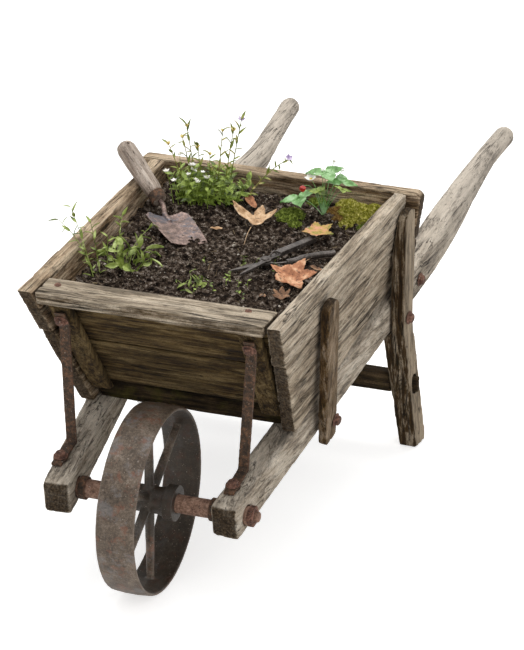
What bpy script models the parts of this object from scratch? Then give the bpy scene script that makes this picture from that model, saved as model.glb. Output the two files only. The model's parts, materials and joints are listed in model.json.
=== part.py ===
"""An old wooden garden barrow on one cast-iron wheel, planted up and left outdoors.

Working frame: the axle lies along X at y = 0, +Y runs back to the handles, +X is the
barrow's right-hand side as seen from the wheel, and z = 0 is the ground. Every piece
hangs on one empty, which moves the barrow so that its origin is the middle of its
footprint. All lengths are in metres.

Most timbers are sawn: a blank is cut down by the planes that bound the real board, and
each plane belongs to the neighbour it meets, set back by FIT_GAP.
"""
import math

import bmesh
import bpy
from mathutils import Matrix, Vector, noise

# Fits
FIT_GAP = 0.0003
RUNNING_GAP = 0.0003
ROUND_STEPS = 12
BLANK_SIZE = 4.0
BLANK_CENTRE_Y = 0.6

# The sizes that the others follow: the wheel, the tray's width and its length
WHEEL_RADIUS = 0.175
RIM_FRONT_HALF_WIDTH = 0.2517
BACK_FACE_Y = 0.697
RIM_FRONT_Z = WHEEL_RADIUS + 0.377

# Wheel and axle
WHEEL_WIDTH = 0.075
RIM_THICKNESS = 0.0095
RIM_EDGE_ROUND = 0.0030
RIM_CROWN = 0.0020
WHEEL_STEPS = 56
SPOKE_COUNT = 6
SPOKE_RADIUS = 0.0078
SPOKE_STEPS = 10
SPOKE_SINK = 0.003
HUB_RADIUS = 0.029
HUB_WAIST_RADIUS = 0.0255
HUB_LENGTH = 0.110
HUB_COLLAR_RADIUS = 0.034
HUB_COLLAR_WIDTH = 0.020
AXLE_RADIUS = 0.0175
AXLE_STEPS = 32
AXLE_THREAD_RADIUS = 0.0105
AXLE_END_PROUD = 0.008
AXLE_HEAD_RADIUS = 0.0225
AXLE_HEAD_HEIGHT = 0.0040
SLEEVE_WALL = 0.0045
SLEEVE_LENGTH = 0.014
NUT_ACROSS_CORNERS = 0.040
NUT_HEIGHT = 0.012

# Shafts: straight under the tray, then bent and rounded into the handles
SHAFT_WIDTH = 0.054
SHAFT_DEPTH = 0.069
SHAFT_CORNER = 0.006
SHAFT_END_WEAR = 0.007
SHAFT_FRONT_Y = {"right": -0.048, "left": -0.058}
SHAFT_UNDER_RIM = 0.0887
SHAFT_AXLE_X = RIM_FRONT_HALF_WIDTH - SHAFT_UNDER_RIM
SHAFT_SPREAD = 0.088
SHAFT_RISE = 0.161
SHAFT_ABOVE_AXLE = 0.007
REAR_RAIL_Y = BACK_FACE_Y + 0.103
HANDLE_BEND_Y = REAR_RAIL_Y + 0.030
HANDLE_TAPER_START_Y = HANDLE_BEND_Y + 0.070
GRIP_START_Y = HANDLE_BEND_Y + 0.570
HANDLE_RINGS = 12
HANDLE_LOOK_BACK = 0.004
SHAFT_LEAD_IN = 0.200
GRIP_RADIUS = 0.0225
# Stations of each handle after the bend: (behind the bend, outside the axle's end, above the axle)
HANDLE_STATIONS = {
    "right": ((0.170, 0.079, 0.162), (0.370, 0.075, 0.175), (0.530, 0.0695, 0.175), (0.690, 0.0654, 0.164)),
    "left": ((0.170, 0.076, 0.154), (0.370, 0.065, 0.158), (0.530, 0.077, 0.166), (0.690, 0.0936, 0.167)),
}

# Tray: side boards lean out, the front panel slopes, the rim falls slightly backwards
BOARD_THICKNESS = 0.031
RIM_FRONT_Y = -0.005
RIM_FALL = 0.0235
SIDE_FLARE = 0.0214
SIDE_LEAN = 0.141
SIDE_FRONT_SLOPE = 0.64
SIDE_SEAM_DROP = 0.108
LOWER_PLANK_SETBACK = 0.004
BACK_THICKNESS = 0.033
BACK_SEAM_DROP = 0.102
BACK_EAR = 0.027
BACK_CORNER_CUT = 0.024
PANEL_TOP_Y = 0.032
PANEL_TOP_Z = RIM_FRONT_Z - 0.018
PANEL_SLOPE = 0.695
PANEL_THICKNESS = 0.024
PANEL_SEAM_Z = RIM_FRONT_Z - 0.134
RAIL_FRONT_Y = 0.002
RAIL_BACK_Y = 0.080
RAIL_HEIGHT = 0.028
SILL_FRONT_Y = 0.2105
SILL_BACK_Y = 0.2505
SILL_TOP_Z = WHEEL_RADIUS + 0.1215
FLOOR_THICKNESS = 0.020
FLOOR_BOARD_COUNT = 3
EDGE_WEAR = 0.0022

# Battens, iron straps, stakes, legs and cross rails
BATTEN_TOP_X = RIM_FRONT_HALF_WIDTH - 0.0725
BATTEN_TOP_Z = RIM_FRONT_Z - 0.062
BATTEN_LEAN = 0.0545
BATTEN_WIDTH = 0.045
BATTEN_THICKNESS = 0.018
BATTEN_FOOT_Z = SILL_TOP_Z - 0.0145
STRAP_WIDTH = 0.0205
STRAP_THICKNESS = 0.006
STRAP_TOP_Z = RIM_FRONT_Z - 0.046
STRAP_BEND_Z = RIM_FRONT_Z - 0.080
STRAP_TOP_X = BATTEN_TOP_X
STRAP_FOOT_OFFSET = {"right": -0.0115, "left": 0.0075}
STRAP_LOWER_Y = 0.066
STRAP_FOOT_Y = -0.012
STRAP_FOOT_RADIUS = 0.0145
STRAP_FOOT_SCREW_Y = 0.010
STRAP_BOLT_Z = RIM_FRONT_Z - 0.065
STAKE_TOP_Y = 0.232
STAKE_TOP_Z = RIM_FRONT_Z - 0.040
STAKE_FOOT_Y = 0.318
STAKE_BELOW_SHAFT = 0.0127
STAKE_WIDTH = 0.048
STAKE_THICKNESS = 0.021
STAKE_BOLT_Y = 0.322
LEG_FRONT_Y = BACK_FACE_Y - 0.053
LEG_DEPTH = 0.050
LEG_LAP_THICKNESS = 0.0315
LEG_TOP_Z = RIM_FRONT_Z - 0.037
LEG_KNEE_Z = WHEEL_RADIUS + 0.095
LEG_SPLAY_OUT = 0.072
LEG_SPLAY_BACK = 0.141
LEG_SHOULDER = 0.016
LEG_INNER_SPLAY = 0.1133
LEG_TOP_ROUND = 0.016
STRETCHER_Z = 0.138
STRETCHER_HEIGHT = 0.042
STRETCHER_DEPTH = 0.035
TENON_HEIGHT = 0.034
TENON_DEPTH = 0.018
TENON_PROUD = 0.006
REAR_RAIL_DEPTH = 0.044
REAR_RAIL_HEIGHT = 0.050

# Bolts
BOLT_RADIUS = 0.0048
BOLT_HEAD_RADIUS = 0.0100
BOLT_HEAD_HEIGHT = 0.0075
BOLT_WASHER_RADIUS = 0.0140
BOLT_WASHER_HEIGHT = 0.0025
NUT_RADIUS = 0.0095
BOLT_TIP = 0.008
DRILL_RUN = 0.020
NUT_CLEARANCE = 0.0015
COACH_SCREW_IN_RAIL = 0.030
STRAP_SCREW_DEPTH = 0.020

# Soil and what lies or grows on it
SOIL_TOP_Z = RIM_FRONT_Z - 0.055
MOUND_RINGS = 6
MOUND_SEGMENTS = 20

# Trowel
TROWEL_HANDLE_RADIUS = 0.0195
TROWEL_HANDLE_LENGTH = 0.150
TROWEL_NECK_END = (0.0737 - RIM_FRONT_HALF_WIDTH, BACK_FACE_Y - 0.172, RIM_FRONT_Z - 0.0287)
TROWEL_HANDLE_AXIS = (-0.706, 0.504, 0.497)
TROWEL_HOLE_RADIUS = 0.0030
FERRULE_RADIUS = 0.0160
FERRULE_WALL = 0.0012
FERRULE_LENGTH = 0.020
TANG_RADIUS = 0.0050
TANG_IN_HANDLE = 0.040
BLADE_ROOT = (TROWEL_NECK_END[0] + 0.0220, TROWEL_NECK_END[1] - 0.0350, SOIL_TOP_Z + 0.0102)
BLADE_AXIS = (0.669, -0.740, -0.055)
BLADE_LENGTH = 0.128
BLADE_HALF_WIDTH = 0.0445
BLADE_THICKNESS = 0.0022
BLADE_DISH = 0.010

# Shears, lying open: angles are seen from above, from +X
SHEARS_PIVOT = (RIM_FRONT_HALF_WIDTH - 0.1627, BACK_FACE_Y - 0.325)
SHEARS_LIFT = 0.0006
SHEARS_PLATE = 0.0045
SHEARS_BOSS_RADIUS = 0.0110
SHEARS_BLADE_LENGTH = 0.080
SHEARS_HOOK_LENGTH = 0.086
SHEARS_BLADE_ANGLE = -128.8
SHEARS_HOOK_ANGLE = -105.1
SHEARS_ROUND_HANDLE_ANGLE = 34.0
SHEARS_FLAT_HANDLE_ANGLE = 65.0
SHEARS_HANDLE_LENGTH = 0.134
SHEARS_GRIP_RADIUS = 0.0062
SHEARS_FLAT_GRIP_WIDTH = 0.0145
SHEARS_FLAT_GRIP_THICKNESS = 0.0090
SHEARS_PIVOT_RADIUS = 0.0040
SHEARS_PIVOT_HEAD_RADIUS = 0.0080
SHEARS_PIVOT_HEAD_HEIGHT = 0.0035
CATCH_DISTANCE = 0.0215
CATCH_RADIUS = 0.0070
CATCH_WIRE_RADIUS = 0.0016

SIDES = (("right", 1.0), ("left", -1.0))

COLOURS = {
    "weathered_oak": ((0.33, 0.28, 0.22), 0.88, 0.0),
    "shaded_oak": ((0.20, 0.15, 0.11), 0.90, 0.0),
    "rusty_iron": ((0.16, 0.09, 0.065), 0.80, 0.55),
    "cast_iron": ((0.15, 0.12, 0.105), 0.70, 0.65),
    "dark_steel": ((0.12, 0.11, 0.11), 0.55, 0.80),
    "blade_steel": ((0.25, 0.22, 0.21), 0.50, 0.75),
    "ash_handle": ((0.36, 0.27, 0.21), 0.75, 0.0),
    "soil": ((0.045, 0.032, 0.024), 0.95, 0.0),
    "moss": ((0.13, 0.18, 0.03), 0.95, 0.0),
    "leaf_green": ((0.15, 0.30, 0.06), 0.60, 0.0),
    "dead_leaf": ((0.50, 0.26, 0.13), 0.80, 0.0),
}

scene = bpy.context.scene
parts = bpy.data.collections.new("garden_barrow")
cutters = bpy.data.collections.new("cutters")
barrow = bpy.data.objects.new("barrow_frame", None)
materials = {}


def clear_scene():
    for obj in list(bpy.data.objects):
        if obj is not barrow:
            bpy.data.objects.remove(obj)
    scene.collection.children.link(parts)
    scene.collection.children.link(cutters)
    parts.objects.link(barrow)


def finish_of(name):
    """The Principled material of one finish, made when it is first asked for."""
    if name not in materials:
        colour, roughness, metallic = COLOURS[name]
        mat = bpy.data.materials.new(name)
        mat.use_nodes = True
        shader = mat.node_tree.nodes["Principled BSDF"]
        shader.inputs["Base Color"].default_value = (*colour, 1.0)
        shader.inputs["Roughness"].default_value = roughness
        shader.inputs["Metallic"].default_value = metallic
        mat.diffuse_color = (*colour, 1.0)
        materials[name] = mat
    return materials[name]


def add_object(name, mesh, finish, origin=None):
    """Hang a mesh on the barrow, with its origin at its middle or at a given point."""
    obj = bpy.data.objects.new(name, mesh)
    if origin is None:
        corners = [Vector(v.co) for v in mesh.vertices]
        low = Vector([min(c[i] for c in corners) for i in range(3)])
        high = Vector([max(c[i] for c in corners) for i in range(3)])
        origin = (low + high) / 2
    origin = Vector(origin)
    mesh.transform(Matrix.Translation(-origin))
    obj.location = origin
    obj.parent = barrow
    if finish is None:
        cutters.objects.link(obj)
        obj.hide_render = True
        obj.display_type = "WIRE"
    else:
        parts.objects.link(obj)
        own = finish_of(finish).copy()
        own.name = f"{name}_finish"
        mesh.materials.clear()
        mesh.materials.append(own)
    return obj


def wear_edges(obj, width=EDGE_WEAR):
    bevel = obj.modifiers.new("worn_edges", "BEVEL")
    bevel.width = width
    bevel.segments = 1
    bevel.limit_method = "ANGLE"
    bevel.angle_limit = math.radians(20)


def combine(obj, tool, operation):
    boolean = obj.modifiers.new(f"{operation.lower()}_{tool.name}", "BOOLEAN")
    boolean.operation = operation
    boolean.solver = "EXACT"
    boolean.object = tool


# Planes, and timbers sawn from a blank by them

def plane(point, normal):
    return Vector(point), Vector(normal).normalized()


def moved(face, distance):
    """The same plane, moved along its normal."""
    return face[0] + face[1] * distance, face[1]


def facing(face):
    """The neighbour's side of a plane, a fit gap away from it."""
    return face[0] + face[1] * FIT_GAP, -face[1]


def on_side(face, side):
    """A plane of the right-hand side, or its mirror image."""
    flip = Vector((side, 1, 1))
    return face[0] * flip, face[1] * flip


def height_at(face, x, y):
    """The z of a plane above a point of the ground."""
    point, normal = face
    return point.z - (normal.x * (x - point.x) + normal.y * (y - point.y)) / normal.z


def sawn_mesh(name, faces):
    bm = bmesh.new()
    bmesh.ops.create_cube(bm, size=BLANK_SIZE, matrix=Matrix.Translation((0, BLANK_CENTRE_Y, 0)))
    for point, normal in faces:
        everything = bm.verts[:] + bm.edges[:] + bm.faces[:]
        bmesh.ops.bisect_plane(bm, geom=everything, dist=1e-7, plane_co=point, plane_no=normal,
                               clear_outer=True)
        bmesh.ops.holes_fill(bm, edges=bm.edges[:], sides=0)
    bmesh.ops.recalc_face_normals(bm, faces=bm.faces[:])
    mesh = bpy.data.meshes.new(name)
    bm.to_mesh(mesh)
    bm.free()
    return mesh


def sawn(name, finish, faces, wear=EDGE_WEAR):
    obj = add_object(name, sawn_mesh(name, faces), finish)
    if wear and finish:
        wear_edges(obj, wear)
    return obj


# Turned, lofted and flat pieces

def turning_frame(axis):
    """Rotation that lays a piece turned about Z along an axis."""
    return Vector((0, 0, 1)).rotation_difference(Vector(axis)).to_matrix().to_4x4()


def turned(name, finish, profile, base, axis, steps=ROUND_STEPS):
    """A profile of (radius, height) points, top to bottom, turned about an axis through base."""
    mesh = bpy.data.meshes.new(name)
    mesh.from_pydata([(r, 0, h) for r, h in profile], [(i, i + 1) for i in range(len(profile) - 1)], [])
    obj = add_object(name, mesh, finish, origin=(0, 0, 0))
    obj.location = Vector(base)
    obj.rotation_euler = turning_frame(axis).to_euler()
    screw = obj.modifiers.new("turn", "SCREW")
    screw.steps = steps
    screw.render_steps = steps
    screw.use_merge_vertices = True
    screw.merge_threshold = 0.00001
    screw.use_smooth_shade = False
    return obj


def ring_profile(outer, inner, top, bottom):
    return [(inner, top), (outer, top), (outer, bottom), (inner, bottom), (inner, top)]


def rod(name, start, end, radius, steps=ROUND_STEPS, finish=None):
    """A straight round bar between two points, or a cutter if it has no finish."""
    start, end = Vector(start), Vector(end)
    bm = bmesh.new()
    bmesh.ops.create_cone(bm, cap_ends=True, segments=steps, radius1=radius, radius2=radius,
                          depth=(end - start).length)
    mesh = bpy.data.meshes.new(name)
    bm.to_mesh(mesh)
    bm.free()
    mesh.transform(Matrix.Translation((start + end) / 2) @ turning_frame(end - start))
    return add_object(name, mesh, finish)


def drill(obj, name, start, end, radius, steps=ROUND_STEPS):
    """A round hole with a fit gap all round, also over the flats of its facets."""
    clear = (radius + FIT_GAP) / math.cos(math.pi / steps)
    combine(obj, rod(name, start, end, clear, steps), "DIFFERENCE")


def plate_mesh(name, outline, thickness, frame):
    """A closed flat outline, extruded both ways from its plane and set in a frame."""
    curve = bpy.data.curves.new(name, "CURVE")
    curve.dimensions = "2D"
    curve.fill_mode = "BOTH"
    curve.extrude = thickness / 2
    spline = curve.splines.new("POLY")
    spline.points.add(len(outline) - 1)
    for point, (u, v) in zip(spline.points, outline):
        point.co = (u, v, 0, 1)
    spline.use_cyclic_u = True
    return curve_mesh(name, curve, frame)


def curve_mesh(name, curve, frame):
    """The mesh of a curve, its caps welded, moved by a frame that may also shear it."""
    holder = bpy.data.objects.new(f"{name}_curve", curve)
    cutters.objects.link(holder)
    bpy.context.view_layer.update()
    mesh = bpy.data.meshes.new_from_object(holder.evaluated_get(bpy.context.evaluated_depsgraph_get()))
    bpy.data.objects.remove(holder)
    bm = bmesh.new()
    bm.from_mesh(mesh)
    bmesh.ops.remove_doubles(bm, verts=bm.verts[:], dist=0.00001)
    bm.transform(frame)
    bmesh.ops.recalc_face_normals(bm, faces=bm.faces[:])
    bm.to_mesh(mesh)
    bm.free()
    mesh.name = name
    return mesh


def plate(name, finish, outline, thickness, frame, origin=None):
    return add_object(name, plate_mesh(name, outline, thickness, frame), finish, origin)


def bent_rod(name, finish, route, radius, resolution=2):
    """A round bar along a route of points."""
    curve = bpy.data.curves.new(name, "CURVE")
    curve.dimensions = "3D"
    curve.bevel_depth = radius
    curve.bevel_resolution = resolution
    curve.use_fill_caps = True
    spline = curve.splines.new("POLY")
    spline.points.add(len(route) - 1)
    for point, place in zip(spline.points, route):
        point.co = (*place, 1)
    return add_object(name, curve_mesh(name, curve, Matrix.Identity(4)), finish)


def columns(u, v, w, origin):
    """A frame from its three axes and its origin."""
    frame = Matrix.Identity(4)
    for i, axis in enumerate((u, v, w, origin)):
        frame.col[i][:3] = Vector(axis)
    return frame


def loft(name, sections):
    """A closed skin over sections that have the same number of points."""
    bm = bmesh.new()
    rings = [[bm.verts.new(p) for p in section] for section in sections]
    count = len(rings[0])
    for near, far in zip(rings, rings[1:]):
        for i in range(count):
            j = (i + 1) % count
            bm.faces.new((near[i], near[j], far[j], far[i]))
    bm.faces.new(rings[0][::-1])
    bm.faces.new(rings[-1])
    bmesh.ops.recalc_face_normals(bm, faces=bm.faces[:])
    mesh = bpy.data.meshes.new(name)
    bm.to_mesh(mesh)
    bm.free()
    return mesh


def bolt(name, seat, axis, reach, nut=True):
    """A bolt rusted solid with its washer and nut; its seat is under the washer."""
    washer_top = BOLT_WASHER_HEIGHT
    head_top = washer_top + BOLT_HEAD_HEIGHT
    profile = [(0, head_top), (BOLT_HEAD_RADIUS * 0.75, head_top), (BOLT_HEAD_RADIUS, head_top * 0.75),
               (BOLT_HEAD_RADIUS, washer_top), (BOLT_WASHER_RADIUS, washer_top),
               (BOLT_WASHER_RADIUS, FIT_GAP), (BOLT_RADIUS, FIT_GAP)]
    if nut:
        profile += [(BOLT_RADIUS, -reach - FIT_GAP), (NUT_RADIUS, -reach - FIT_GAP),
                    (NUT_RADIUS, -reach - BOLT_HEAD_HEIGHT), (0, -reach - BOLT_HEAD_HEIGHT)]
    else:
        profile += [(BOLT_RADIUS, -reach), (0, -reach - BOLT_RADIUS)]
    return turned(name, "rusty_iron", profile, seat, axis)


# The shafts' straight part, which carries the whole tray

def shaft_centre(y):
    return Vector((SHAFT_AXLE_X + SHAFT_SPREAD * y, y, WHEEL_RADIUS + SHAFT_ABOVE_AXLE + SHAFT_RISE * y))


SHAFT_RUN = Vector((SHAFT_SPREAD, 1, SHAFT_RISE)).normalized()
SHAFT_OUTWARD = Vector((1, -SHAFT_SPREAD, 0)).normalized()
SHAFT_UPWARD = SHAFT_OUTWARD.cross(SHAFT_RUN)
SHAFT_OUTER = plane(shaft_centre(0) + SHAFT_OUTWARD * SHAFT_WIDTH / 2, SHAFT_OUTWARD)
SHAFT_INNER = plane(shaft_centre(0) - SHAFT_OUTWARD * SHAFT_WIDTH / 2, -SHAFT_OUTWARD)
SHAFT_TOP = plane(shaft_centre(0) + SHAFT_UPWARD * SHAFT_DEPTH / 2, SHAFT_UPWARD)
SHAFT_BOTTOM = plane(shaft_centre(0) - SHAFT_UPWARD * SHAFT_DEPTH / 2, -SHAFT_UPWARD)

# The faces of the tray, as planes that its neighbours are cut against
RIM = plane((0, RIM_FRONT_Y, RIM_FRONT_Z), (0, RIM_FALL, 1))
SIDE_OUTER = plane((RIM_FRONT_HALF_WIDTH, RIM_FRONT_Y, RIM_FRONT_Z), (1, -SIDE_FLARE, -SIDE_LEAN))
SIDE_INNER = (SIDE_OUTER[0] - SIDE_OUTER[1] * BOARD_THICKNESS, -SIDE_OUTER[1])
SIDE_FRONT = plane((0, RIM_FRONT_Y, RIM_FRONT_Z), (0, -1, -SIDE_FRONT_SLOPE))
SIDE_SEAM = moved(RIM, -SIDE_SEAM_DROP)
BACK_FRONT = plane((0, BACK_FACE_Y, 0), (0, -1, 0))
BACK_REAR = (BACK_FRONT[0] - BACK_FRONT[1] * BACK_THICKNESS, -BACK_FRONT[1])
PANEL_OUTER = plane((0, PANEL_TOP_Y, PANEL_TOP_Z), (0, -1, -PANEL_SLOPE))
PANEL_INNER = (PANEL_OUTER[0] - PANEL_OUTER[1] * PANEL_THICKNESS, -PANEL_OUTER[1])
RAIL_UNDERSIDE = (RIM[0] - RIM[1] * RAIL_HEIGHT, -RIM[1])
SILL_TOP = plane((0, 0, SILL_TOP_Z), (0, 0, 1))
SILL_FRONT = plane((0, SILL_FRONT_Y, 0), (0, -1, 0))
SILL_BACK = plane((0, SILL_BACK_Y, 0), (0, 1, 0))
FLOOR_TOP = moved(SHAFT_TOP, FIT_GAP + FLOOR_THICKNESS)


def between_sides(distance=0.0):
    """Both side boards' inner faces, as the ends of what lies between them."""
    right = facing(moved(SIDE_INNER, distance))
    return [right, on_side(right, -1)]


def on_both_shafts():
    bottom = facing(SHAFT_TOP)
    return [bottom, on_side(bottom, -1)]


# The wheel: a cast rim, spokes and hub in one piece, and the axle that it turns on

def make_wheel():
    half = WHEEL_WIDTH / 2
    inner = WHEEL_RADIUS - RIM_THICKNESS
    edge = RIM_EDGE_ROUND
    tread = WHEEL_RADIUS - RIM_CROWN
    rim_profile = [(inner, half - edge), (inner + edge, half), (tread - edge, half),
                   (tread, half - edge), (WHEEL_RADIUS, half / 3), (WHEEL_RADIUS, -half / 3),
                   (tread, -half + edge), (tread - edge, -half), (inner + edge, -half), (inner, -half + edge),
                   (inner - edge, 0), (inner, half - edge)]
    along_x = (1, 0, 0)
    centre = (0, 0, WHEEL_RADIUS)
    wheel = turned("wheel", "cast_iron", rim_profile, centre, along_x, WHEEL_STEPS)
    bore = (AXLE_RADIUS + RUNNING_GAP) / math.cos(math.pi / AXLE_STEPS)
    end = HUB_LENGTH / 2
    hub_profile = [(bore, end), (HUB_COLLAR_RADIUS, end), (HUB_COLLAR_RADIUS, end - HUB_COLLAR_WIDTH),
                   (HUB_RADIUS, end - HUB_COLLAR_WIDTH - edge), (HUB_WAIST_RADIUS, end / 3),
                   (HUB_WAIST_RADIUS, -end / 2), (HUB_RADIUS, -end), (bore, -end), (bore, end)]
    hub = turned("hub_blank", None, hub_profile, centre, along_x, AXLE_STEPS)
    spokes = bmesh.new()
    inside = HUB_WAIST_RADIUS - SPOKE_SINK
    outside = inner + SPOKE_SINK - edge
    for i in range(SPOKE_COUNT):
        turn = Matrix.Rotation(2 * math.pi * i / SPOKE_COUNT, 4, "X")
        out = Matrix.Translation((0, 0, (inside + outside) / 2))
        bmesh.ops.create_cone(spokes, cap_ends=True, segments=SPOKE_STEPS, radius1=SPOKE_RADIUS * 1.25,
                              radius2=SPOKE_RADIUS, depth=outside - inside, matrix=turn @ out)
    mesh = bpy.data.meshes.new("spoke_blanks")
    spokes.to_mesh(mesh)
    spokes.free()
    mesh.transform(Matrix.Translation(centre))
    spoke_blanks = add_object("spoke_blanks", mesh, None, origin=centre)
    combine(hub, spoke_blanks, "UNION")
    combine(wheel, hub, "UNION")
    return wheel


def axle_seat_x():
    """Where the axle's nut meets a shaft's outer face, over the whole width of the nut."""
    return SHAFT_OUTER[0].x + SHAFT_SPREAD * NUT_ACROSS_CORNERS / 2 + FIT_GAP


def sleeve_start_x():
    """The outer end of a sleeve, clear of the shaft's slanting inner face."""
    return SHAFT_AXLE_X - SHAFT_WIDTH / 2 - SHAFT_SPREAD * NUT_ACROSS_CORNERS / 2 - FIT_GAP * 4


def make_axle():
    """One bar, with a thin riveted head on the left and a nut on the right."""
    seat_x = axle_seat_x()
    end = seat_x + NUT_HEIGHT + AXLE_END_PROUD
    head_top = -seat_x - AXLE_HEAD_HEIGHT
    profile = [(0, end), (AXLE_THREAD_RADIUS * 0.8, end), (AXLE_THREAD_RADIUS, end - AXLE_END_PROUD / 3),
               (AXLE_THREAD_RADIUS, seat_x - FIT_GAP), (AXLE_RADIUS, seat_x - FIT_GAP),
               (AXLE_RADIUS, -seat_x), (AXLE_HEAD_RADIUS, -seat_x), (AXLE_HEAD_RADIUS * 0.8, head_top),
               (0, head_top)]
    turned("axle", "rusty_iron", profile, (0, 0, WHEEL_RADIUS), (1, 0, 0), AXLE_STEPS)
    bore = (AXLE_RADIUS + FIT_GAP) / math.cos(math.pi / AXLE_STEPS)
    for tag, side in SIDES:
        sleeve = ring_profile(AXLE_RADIUS + SLEEVE_WALL, bore, 0, -SLEEVE_LENGTH)
        turned(f"axle_sleeve_{tag}", "rusty_iron", sleeve, (side * sleeve_start_x(), 0, WHEEL_RADIUS),
               (side, 0, 0), AXLE_STEPS)
    seat = Vector((seat_x, 0, WHEEL_RADIUS))
    top = seat + Vector((NUT_HEIGHT, 0, 0))
    nut = rod("axle_nut", seat, top, NUT_ACROSS_CORNERS / 2, 6, "rusty_iron")
    run = Vector((NUT_HEIGHT, 0, 0))
    drill(nut, "nut_hole", seat - run, top + run, AXLE_THREAD_RADIUS, AXLE_STEPS)


# The shafts

def rounded_section(width, depth, corner):
    """Sixteen points round a section whose corners may be rounded up to a full circle."""
    points = []
    for quarter in range(4):
        for step in range(4):
            angle = math.radians(90 * quarter + 11.25 + 22.5 * step)
            across = math.copysign(width / 2 - corner, math.cos(angle))
            up = math.copysign(depth / 2 - corner, math.sin(angle))
            points.append((across + corner * math.cos(angle), up + corner * math.sin(angle)))
    return points


def handle_centre(y, tag):
    """The straight shaft, then a smooth curve through the handle's stations."""
    if y <= HANDLE_BEND_Y:
        return shaft_centre(y)
    points = [shaft_centre(HANDLE_BEND_Y - SHAFT_LEAD_IN), shaft_centre(HANDLE_BEND_Y)]
    for behind, outside, above in HANDLE_STATIONS[tag]:
        points.append(Vector((SHAFT_AXLE_X + outside, HANDLE_BEND_Y + behind, WHEEL_RADIUS + above)))
    points.append(2 * points[-1] - points[-2])
    index = max(i for i in range(1, len(points) - 2) if points[i].y <= y)
    before, start, end, after = points[index - 1:index + 3]
    span = end.y - start.y
    s = (y - start.y) / span
    leave = (end - before) * span / (end.y - before.y)
    arrive = (after - start) * span / (after.y - start.y)
    turn = s * s * (3 - 2 * s)
    return start * (1 - turn) + end * turn + leave * (s ** 3 - 2 * s ** 2 + s) + arrive * (s ** 3 - s ** 2)


def handle_section(y, tag, narrow=1.0):
    """The section's points in space: square timber that thins to a round grip."""
    s = (y - HANDLE_TAPER_START_Y) / (GRIP_START_Y - HANDLE_TAPER_START_Y)
    s = min(max(s, 0.0), 1.0)
    s = s * s * (3 - 2 * s)
    width = (SHAFT_WIDTH + (2 * GRIP_RADIUS - SHAFT_WIDTH) * s) * narrow
    depth = (SHAFT_DEPTH + (2 * GRIP_RADIUS - SHAFT_DEPTH) * s) * narrow
    corner = (SHAFT_CORNER + (GRIP_RADIUS - SHAFT_CORNER) * s) * narrow
    centre = handle_centre(y, tag)
    run = SHAFT_RUN
    if y > HANDLE_BEND_Y:
        run = (centre - handle_centre(y - HANDLE_LOOK_BACK, tag)).normalized()
    outward = Vector((run.y, -run.x, 0)).normalized()
    upward = outward.cross(run)
    return [centre + outward * a + upward * b for a, b in rounded_section(width, depth, corner)]


def make_shafts():
    handle_end = HANDLE_BEND_Y + HANDLE_STATIONS["right"][-1][0]
    round_off = GRIP_RADIUS / 2
    span = handle_end - round_off - HANDLE_BEND_Y
    bent = [HANDLE_BEND_Y + span * (i + 1) / HANDLE_RINGS for i in range(HANDLE_RINGS)]
    for tag, side in SIDES:
        flip = Vector((side, 1, 1))
        front = SHAFT_FRONT_Y[tag]
        sections = [handle_section(front, tag, 1 - 2 * SHAFT_END_WEAR / SHAFT_WIDTH)]
        sections += [handle_section(y, tag) for y in [front + SHAFT_END_WEAR, HANDLE_BEND_Y] + bent]
        sections.append(handle_section(handle_end - round_off / 4, tag, 0.82))
        sections.append(handle_section(handle_end, tag, 0.45))
        mesh = loft(f"shaft_{tag}", [[p * flip for p in ring] for ring in sections])
        shaft = add_object(f"shaft_{tag}", mesh, "weathered_oak")
        drill(shaft, f"axle_hole_{tag}", (side * SHAFT_AXLE_X * 0.6, 0, WHEEL_RADIUS),
              (side * SHAFT_AXLE_X * 1.4, 0, WHEEL_RADIUS), AXLE_RADIUS, AXLE_STEPS)
        for label, (seat, axis, reach) in shaft_bolts(side).items():
            drill(shaft, f"{label}_hole_{tag}", seat, seat - axis * (reach + BOLT_TIP), BOLT_RADIUS)


def shaft_bolts(side):
    """Each bolt that enters a shaft: its seat, its outward axis and how far it reaches in."""
    flip = Vector((side, 1, 1))
    outward = SHAFT_OUTWARD * flip
    half = SHAFT_WIDTH / 2
    stake_at = shaft_centre(STAKE_BOLT_Y)
    _, _, stake_out, stake_foot, _ = stake_frame()
    stake_skin = (stake_foot + stake_out * STAKE_THICKNESS / 2 - stake_at).dot(stake_out)
    leg_at = shaft_centre(LEG_FRONT_Y + LEG_DEPTH / 2) * flip
    leg_skin = half + LEG_LAP_THICKNESS
    rear_at = shaft_centre(REAR_RAIL_Y) * flip
    foot = strap_point(STRAP_FOOT_SCREW_Y, side)
    return {
        "stake": ((stake_at + stake_out * stake_skin) * flip, stake_out * flip,
                  stake_skin + half + NUT_CLEARANCE),
        "leg": (leg_at + outward * leg_skin, outward, leg_skin + half),
        "rear": (rear_at + outward * half, outward, SHAFT_WIDTH + COACH_SCREW_IN_RAIL),
        "strap_foot": (foot, SHAFT_UPWARD * flip, STRAP_SCREW_DEPTH + FIT_GAP),
    }


# The tray

def make_sides():
    for tag, side in SIDES:
        outer = on_side(SIDE_OUTER, side)
        inner = on_side(SIDE_INNER, side)
        rear = facing(BACK_FRONT)
        bottom = on_side(facing(SHAFT_TOP), side)
        front = SIDE_FRONT
        lower_front = moved(SIDE_FRONT, -LOWER_PLANK_SETBACK)
        seam_above = facing(SIDE_SEAM)
        sawn(f"side_board_{tag}_upper", "weathered_oak", [outer, inner, front, rear, RIM, seam_above])
        sawn(f"side_board_{tag}_lower", "weathered_oak", [outer, inner, lower_front, rear, SIDE_SEAM, bottom])


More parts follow.
